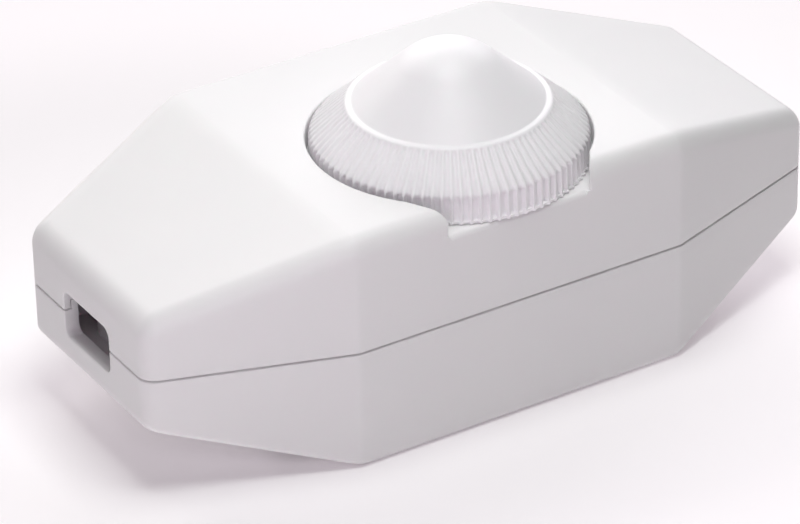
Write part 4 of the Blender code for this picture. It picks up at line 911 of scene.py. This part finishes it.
# %% [markdown]
# ## The smooth part of the dial and its hollow
#
# Above the ribs the surface is plain, so it gets fewer columns: two for each rib, which line
# up with the groove and the top of the rib and so leave no gap. The same two-per-rib grid
# carries on over the top for the outside, and for the inside it runs from the foot up the
# hollow wall, along the ceiling, down the hub and up the D-shaped bore that grips the shaft.
# The bore's flat is a limit on x.

# %% Smooth rows, hollow and the whole dial
DIAL_WALL = 1.8 * MM
HUB_RADIUS = 4.8 * MM
BORE_RADIUS = 3.15 * MM
BORE_FLAT = 2.35 * MM
HUB_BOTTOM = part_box("pot_bushing")[1].z + 0.15 * MM
BORE_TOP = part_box("pot_shaft")[1].z + 0.15 * MM
FILLET = 0.35 * MM
RING_RISE = 0.20 * MM            # the ring is crowned, so it shades off outwards
RING_ROWS = ((0.8, 0.6), (0.55, 0.9), (0.3, 1.0))   # shares of its width and of its rise
CONE_SHARES = np.array([0.25, 0.5, 0.75])
DOME_STEPS = 24
DIAL_SHARP_ANGLE = math.radians(50)
FINE_PER_COARSE = 5
PLAIN_STATIONS = RIB_STATIONS[::FINE_PER_COARSE]
FINE_ROW = len(RIB_STATIONS) * RIB_COUNT
COARSE_ROW = len(PLAIN_STATIONS) * RIB_COUNT


def plain_grid(profile, flat=None):
    """A turned grid with two columns for each rib; a flat limits how far it reaches in x."""
    profile = np.asarray(profile)
    angle = ((np.arange(RIB_COUNT)[:, None] + PLAIN_STATIONS) * math.tau / RIB_COUNT).ravel()
    x = profile[:, :1] * np.cos(angle)
    if flat is not None:
        x = np.minimum(x, flat)
    y = profile[:, :1] * np.sin(angle)
    height = np.broadcast_to(profile[:, 1:], x.shape)
    return np.stack([AXIS[0] + x, AXIS[1] + y, height], axis=-1)


def crown_profile():
    """Ring, fillet, cone and dome, ending just short of the axis."""
    bend = FILLET * math.tan(CONE_SLOPE / 2)
    width = BAND_RADIUS - LAND_RADIUS - bend
    ring = [(LAND_RADIUS + bend + share * width, BAND_HEIGHT + rise * RING_RISE)
            for share, rise in RING_ROWS]
    fillet, _ = arc((LAND_RADIUS + bend, BAND_HEIGHT + RING_RISE + FILLET), FILLET,
                    -math.pi / 2, -math.pi / 2 - CONE_SLOPE, BEND_STEPS)
    cone_end = np.array([CONE_TOP_RADIUS, CONE_TOP])
    cone = fillet[-1] + CONE_SHARES[:, None] * (cone_end - fillet[-1])
    centre = CONE_TOP - DOME_RADIUS * math.cos(CONE_SLOPE)
    dome, _ = arc((0, centre), DOME_RADIUS, math.pi / 2 - CONE_SLOPE, math.pi / 2, DOME_STEPS)
    return np.concatenate([ring, fillet, cone, dome])


def hollow_grids():
    """Inside of the dial, from the foot in to the top of the bore."""
    inner = FOOT_RADIUS - DIAL_WALL
    under_foot = FOOT_RADIUS - DIAL_WALL / 2

    def ceiling(radius):
        cone = BAND_HEIGHT + (LAND_RADIUS - radius) * math.tan(CONE_SLOPE)
        return cone - DIAL_WALL / math.cos(CONE_SLOPE)

    open_part = plain_grid([
        (under_foot, FOOT_BOTTOM), (inner, FOOT_BOTTOM), (inner, ceiling(inner)),
        (HUB_RADIUS, ceiling(HUB_RADIUS)), (HUB_RADIUS, HUB_BOTTOM)])
    shaft_bore = plain_grid([(BORE_RADIUS, HUB_BOTTOM), (BORE_RADIUS, BORE_TOP)], BORE_FLAT)
    tip = plain_grid([(0.0, BORE_TOP)])
    return np.concatenate([open_part, shaft_bore, tip])


def stitch(fine_start, coarse_start):
    """Faces between a ten-per-rib row and a two-per-rib row: five fine steps to one coarse."""
    first = np.arange(COARSE_ROW)
    fine = FINE_PER_COARSE * first[:, None] + np.arange(FINE_PER_COARSE + 1)
    fine = fine % FINE_ROW + fine_start
    coarse = np.stack([(first + 1) % COARSE_ROW, first], axis=-1) + coarse_start
    return np.concatenate([fine, coarse], axis=1).tolist()


def add_dial():
    """Hollow, ribs and crown as one closed skin."""
    crown = plain_grid(crown_profile())
    inside = hollow_grids()[::-1]
    grids = [inside, ribs, crown]
    starts = np.cumsum([0] + [grid.shape[0] * grid.shape[1] for grid in grids])
    faces = []
    for grid, start in zip(grids, starts):
        faces += (ring_faces(*grid.shape[:2]) + start).tolist()
    faces += stitch(starts[1], starts[1] - COARSE_ROW)
    faces += stitch(starts[2] - FINE_ROW, starts[2])
    points = np.concatenate([grid.reshape(-1, 3) for grid in grids])
    return add_piece("ribbed_dial", points, faces)


dial = add_dial()
shade(dial, DIAL_SHARP_ANGLE)
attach(dial, "dial")
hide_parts("dial_knob")
dial_top = max(vertex.co.z for vertex in dial.data.vertices)
print("dial:", len(dial.data.polygons), "faces, top at", round(dial_top / MM, 2), "mm")

# %% [markdown]
# ## Moulded plastics
#
# Almost all that shows is white plastic, and white plastic is hard to get right. It is not a
# flat white coat: light enters it, spreads about a millimetre and comes out again, so narrow
# gaps and grooves glow instead of going black. Subsurface scattering does that. The mould adds
# the rest: a fine grain from spark erosion, a very faint waviness from the flow of the melt,
# and a white that drifts by a few percent. One function makes every moulded plastic in the
# object, from the case to the brown phenolic, out of those few parts.

# %% Moulded plastics
DRIFT_WIDTH = 18 * MM
FLOW_WIDTH = 9 * MM
GRAIN_WIDTH = 0.35 * MM          # real grain is about 0.05 mm; this is as fine as can show
SCATTER_REACH = (1.0, 0.9, 0.95)  # how far red, green and blue light spread, as shares


def moulding(name, light, dark, roughness, ior, scatter, grain, ripple, depth=1.2 * MM):
    """Plastic: noise bump at two scales, slow drift between two colours, some scattering."""
    finish, tree, shader, place = start_finish(name, roughness, ior)
    drift = add_node(tree, "TexNoise", {"Vector": place, "Scale": 1 / DRIFT_WIDTH, "Detail": 2.0})
    colour = add_node(tree, "Mix", {
        "Factor": drift.outputs["Fac"], "A": linear(light), "B": linear(dark)}, data_type="RGBA")
    fine = add_node(tree, "TexNoise", {"Vector": place, "Scale": 1 / GRAIN_WIDTH, "Detail": 2.0})
    wide = add_node(tree, "TexNoise", {"Vector": place, "Scale": 1 / FLOW_WIDTH, "Detail": 1.0})
    flow = add_node(tree, "Bump", {
        "Height": wide.outputs["Fac"], "Strength": 1.0, "Distance": ripple})
    skin = add_node(tree, "Bump", {
        "Height": fine.outputs["Fac"], "Strength": 1.0, "Distance": grain,
        "Normal": flow.outputs["Normal"]})
    shader.inputs["Subsurface Weight"].default_value = scatter
    shader.inputs["Subsurface Radius"].default_value = SCATTER_REACH
    shader.inputs["Subsurface Scale"].default_value = depth
    tree.links.new(colour.outputs["Result"], shader.inputs["Base Color"])
    tree.links.new(skin.outputs["Normal"], shader.inputs["Normal"])
    return finish


FINISHES = {
    # Even white with a wide soft shine: a big part out of a satin-eroded mould.
    "case_plastic": moulding(
        "satin_moulded_polycarbonate", 0xF0EFEF, 0xECEBEC, 0.5, 1.58, 0.4, 0.002 * MM, 0.01 * MM),
    # A little brighter than the case, and that extra white is painted light that lifts the dial's
    # slopes. It is milkier too, so it looks softer and warmer to the touch.
    "dial_plastic": moulding(
        "smooth_moulded_polypropylene_painted_light", 0xFCF9FC, 0xFAF7FB, 0.45, 1.49, 0.4, 0.001 * MM, 0.006 * MM,
        0.8 * MM),
    # Near-black with a dull gloss, the look of pressed phenolic in switches and wafers.
    "phenolic": moulding(
        "pressed_phenolic_resin", 0x2A241F, 0x1C1815, 0.38, 1.60, 0.0, 0.006 * MM, 0.02 * MM),
    # Waxy off-white that lets some light in, as terminal blocks have.
    "nylon": moulding(
        "moulded_nylon", 0xDCDAD3, 0xD0CDC4, 0.42, 1.53, 0.5, 0.002 * MM, 0.015 * MM),
    # Smooth yellow epoxy box of a film capacitor.
    "capacitor_plastic": moulding(
        "poured_epoxy_box", 0xD9B23E, 0xCFA632, 0.3, 1.55, 0.1, 0.002 * MM, 0.02 * MM),
}
for piece, slot in ((upper, "case_plastic"), (lower, "case_plastic"), (dial, "dial_plastic")):
    piece.data.materials.clear()
    piece.data.materials.append(FINISHES[slot])
print(len(FINISHES), "moulded plastics")

# %% [markdown]
# ## Metals
#
# The inner metals differ in colour and in the marks that their making left. Marks are a noise
# stretched along one direction: long for rolled sheet, even for tumbled or plated parts. The
# same noise shifts colour, roughness and height together, because in a real scratch they go
# together too. Metals keep the shader's default index of refraction, since the base colour
# already is their reflectance.

# %% Metals
def tint_and_emboss(tree, shader, pattern, light, dark, depth):
    """One pattern moves the colour between two tones and raises the surface by a depth."""
    tone = add_node(tree, "Mix", {
        "Factor": pattern, "A": linear(light), "B": linear(dark)}, data_type="RGBA")
    skin = add_node(tree, "Bump", {"Height": pattern, "Strength": 1.0, "Distance": depth})
    tree.links.new(tone.outputs["Result"], shader.inputs["Base Color"])
    tree.links.new(skin.outputs["Normal"], shader.inputs["Normal"])


def metal(name, light, dark, roughness, spread, mark, stretch, depth):
    """Metal: one noise, its cells mark wide and 1/stretch longer, drives every variation."""
    finish, tree, shader, place = start_finish(name, roughness, metallic=1.0)
    drawn = add_node(tree, "Mapping", {"Vector": place, "Scale": stretch})
    marks = add_node(tree, "TexNoise", {
        "Vector": drawn.outputs["Vector"], "Scale": 1 / mark, "Detail": 3.0})
    tint_and_emboss(tree, shader, marks.outputs["Fac"], light, dark, depth)
    gloss = add_node(tree, "MapRange", {
        "Value": marks.outputs["Fac"], "To Min": roughness - spread, "To Max": roughness + spread})
    tree.links.new(gloss.outputs["Result"], shader.inputs["Roughness"])
    return finish


EVEN = (1.0, 1.0, 1.0)
ALONG_Z = (1.0, 1.0, 0.06)
# Cool grey with cloudy patches, as bright zinc plating has after the bath.
FINISHES["plated_steel"] = metal(
    "bright_zinc_plated_steel", 0xC6C8CC, 0xB2B4B8, 0.3, 0.08, 0.9 * MM, EVEN, 0.003 * MM)
# Warm yellow with a soft tumbled shine.
FINISHES["brass"] = metal(
    "tumbled_brass", 0xC9A65A, 0xB8934A, 0.26, 0.07, 0.7 * MM, EVEN, 0.003 * MM)
# Pale grey with long fine lines from the rolling mill.
FINISHES["aluminium"] = metal(
    "rolled_aluminium_sheet", 0xCBCCCE, 0xBDBEC1, 0.34, 0.08, 0.4 * MM, ALONG_Z, 0.004 * MM)
print("metals:", [FINISHES[slot].name for slot in ("plated_steel", "brass", "aluminium")])

# %% [markdown]
# ## Wire and weave
#
# The choke's winding is enamelled wire, so its surface is a row of round turns: a wave along
# the height, used as a bump, draws them, and a clear coat stands for the enamel. The board is
# paper-brown laminate pressed over cloth, and two crossed waves give its weave. Modelling every
# turn and thread would cost many faces for something that is only seen through an opening.

# %% Wire and weave
# Real wire is 0.35 mm thick and real threads lie 0.4 mm apart; both are drawn coarser, so
# that they can show.
TURN_PITCH = 0.5 * MM
THREAD_PITCH = 0.8 * MM


def wave_scale(pitch):
    """Scale of a wave of this pitch: the wave repeats every 2 pi / (20 x scale)."""
    return math.tau / 20 / pitch


def wound_wire():
    """Enamelled copper wire: one bump wave per turn, deep red-brown under a clear coat."""
    finish, tree, shader, place = start_finish("enamelled_copper_wire", 0.3, metallic=1.0)
    turns = add_node(tree, "TexWave", {
        "Vector": place, "Scale": wave_scale(TURN_PITCH)}, bands_direction="Z")
    tint_and_emboss(tree, shader, turns.outputs["Fac"], 0x7A3A1E, 0xA8562C, 0.15 * MM)
    shader.inputs["Coat Weight"].default_value = 0.8
    shader.inputs["Coat Roughness"].default_value = 0.1
    return finish


def pressed_laminate():
    """Paper-brown laminate: two crossed waves multiplied are the cloth under the resin."""
    finish, tree, shader, place = start_finish("pressed_phenolic_laminate", 0.45, 1.55)
    warp, weft = (add_node(tree, "TexWave", {
        "Vector": place, "Scale": wave_scale(THREAD_PITCH)}, bands_direction=way) for way in "XY")
    weave = add_node(tree, "Math", {
        0: warp.outputs["Fac"], 1: weft.outputs["Fac"]}, operation="MULTIPLY")
    tint_and_emboss(tree, shader, weave.outputs["Value"], 0xA4803F, 0xB79250, 0.01 * MM)
    return finish


FINISHES["enamelled_copper"] = wound_wire()
FINISHES["board_laminate"] = pressed_laminate()
winding_low, winding_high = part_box("choke_winding")
print("turns on the choke:", round((winding_high.z - winding_low.z) / TURN_PITCH))

# %% [markdown]
# ## Ferrite, lacquer and glass
#
# The choke's ferrite core is a dull dark ceramic with tiny pits, and the cells of a Voronoi
# pattern are a good likeness of its grains. Small parts dipped in lacquer shine softly under a
# clear coat, with an uneven thickness that a wide noise gives. The fuse and the diac are drawn
# glass, which needs little more than its refraction and a trace of streaks.

# %% Ferrite, lacquer and glass
def sintered_ferrite():
    """Dark grey ceramic: cells of a Voronoi pattern are the pits between its grains."""
    finish, tree, shader, place = start_finish("sintered_ferrite", 0.6, 2.0)
    pits = add_node(tree, "TexVoronoi", {"Vector": place, "Scale": 1 / (0.5 * MM)})
    tint_and_emboss(tree, shader, pits.outputs["Distance"], 0x33322F, 0x3D3C3A, 0.02 * MM)
    return finish


def dipped_lacquer():
    """Tan lacquer under a clear coat; a wide noise is the uneven thickness of the dip."""
    finish, tree, shader, place = start_finish("dipped_lacquer", 0.4, 1.5)
    dip = add_node(tree, "TexNoise", {"Vector": place, "Scale": 1 / (1.5 * MM), "Detail": 1.0})
    tint_and_emboss(tree, shader, dip.outputs["Fac"], 0xC9A87A, 0xBF9C6C, 0.05 * MM)
    shader.inputs["Coat Weight"].default_value = 0.6
    shader.inputs["Coat Roughness"].default_value = 0.08
    return finish


def drawn_glass():
    """Clear soda glass with the faint lengthwise streaks of a drawn tube."""
    finish, tree, shader, place = start_finish("drawn_glass_tube", 0.03, 1.52)
    streaks = add_node(tree, "TexNoise", {"Vector": place, "Scale": 1 / (1.2 * MM)})
    skin = add_node(tree, "Bump", {
        "Height": streaks.outputs["Fac"], "Strength": 1.0, "Distance": 0.005 * MM})
    shader.inputs["Base Color"].default_value = linear(0xE6EEEE)
    shader.inputs["Transmission Weight"].default_value = 1.0
    tree.links.new(skin.outputs["Normal"], shader.inputs["Normal"])
    return finish


FINISHES["ferrite"] = sintered_ferrite()
FINISHES["resistor_lacquer"] = dipped_lacquer()
FINISHES["clear_glass"] = drawn_glass()
print(len(FINISHES), "finishes in all")

# %% [markdown]
# ## Every part gets its finish
#
# The record of the CAD model names a material slot for each part. Reading it here keeps the
# two in step: a part that changes its slot changes its finish, and a slot without a finish
# stops the lesson with a clear error.

# %% Finishes by slot
for subpart in frame["record"]["subparts"]:
    part = frame["nodes"][subpart["node"]]
    part.data.materials.clear()
    part.data.materials.append(FINISHES[subpart["material_slot"]])
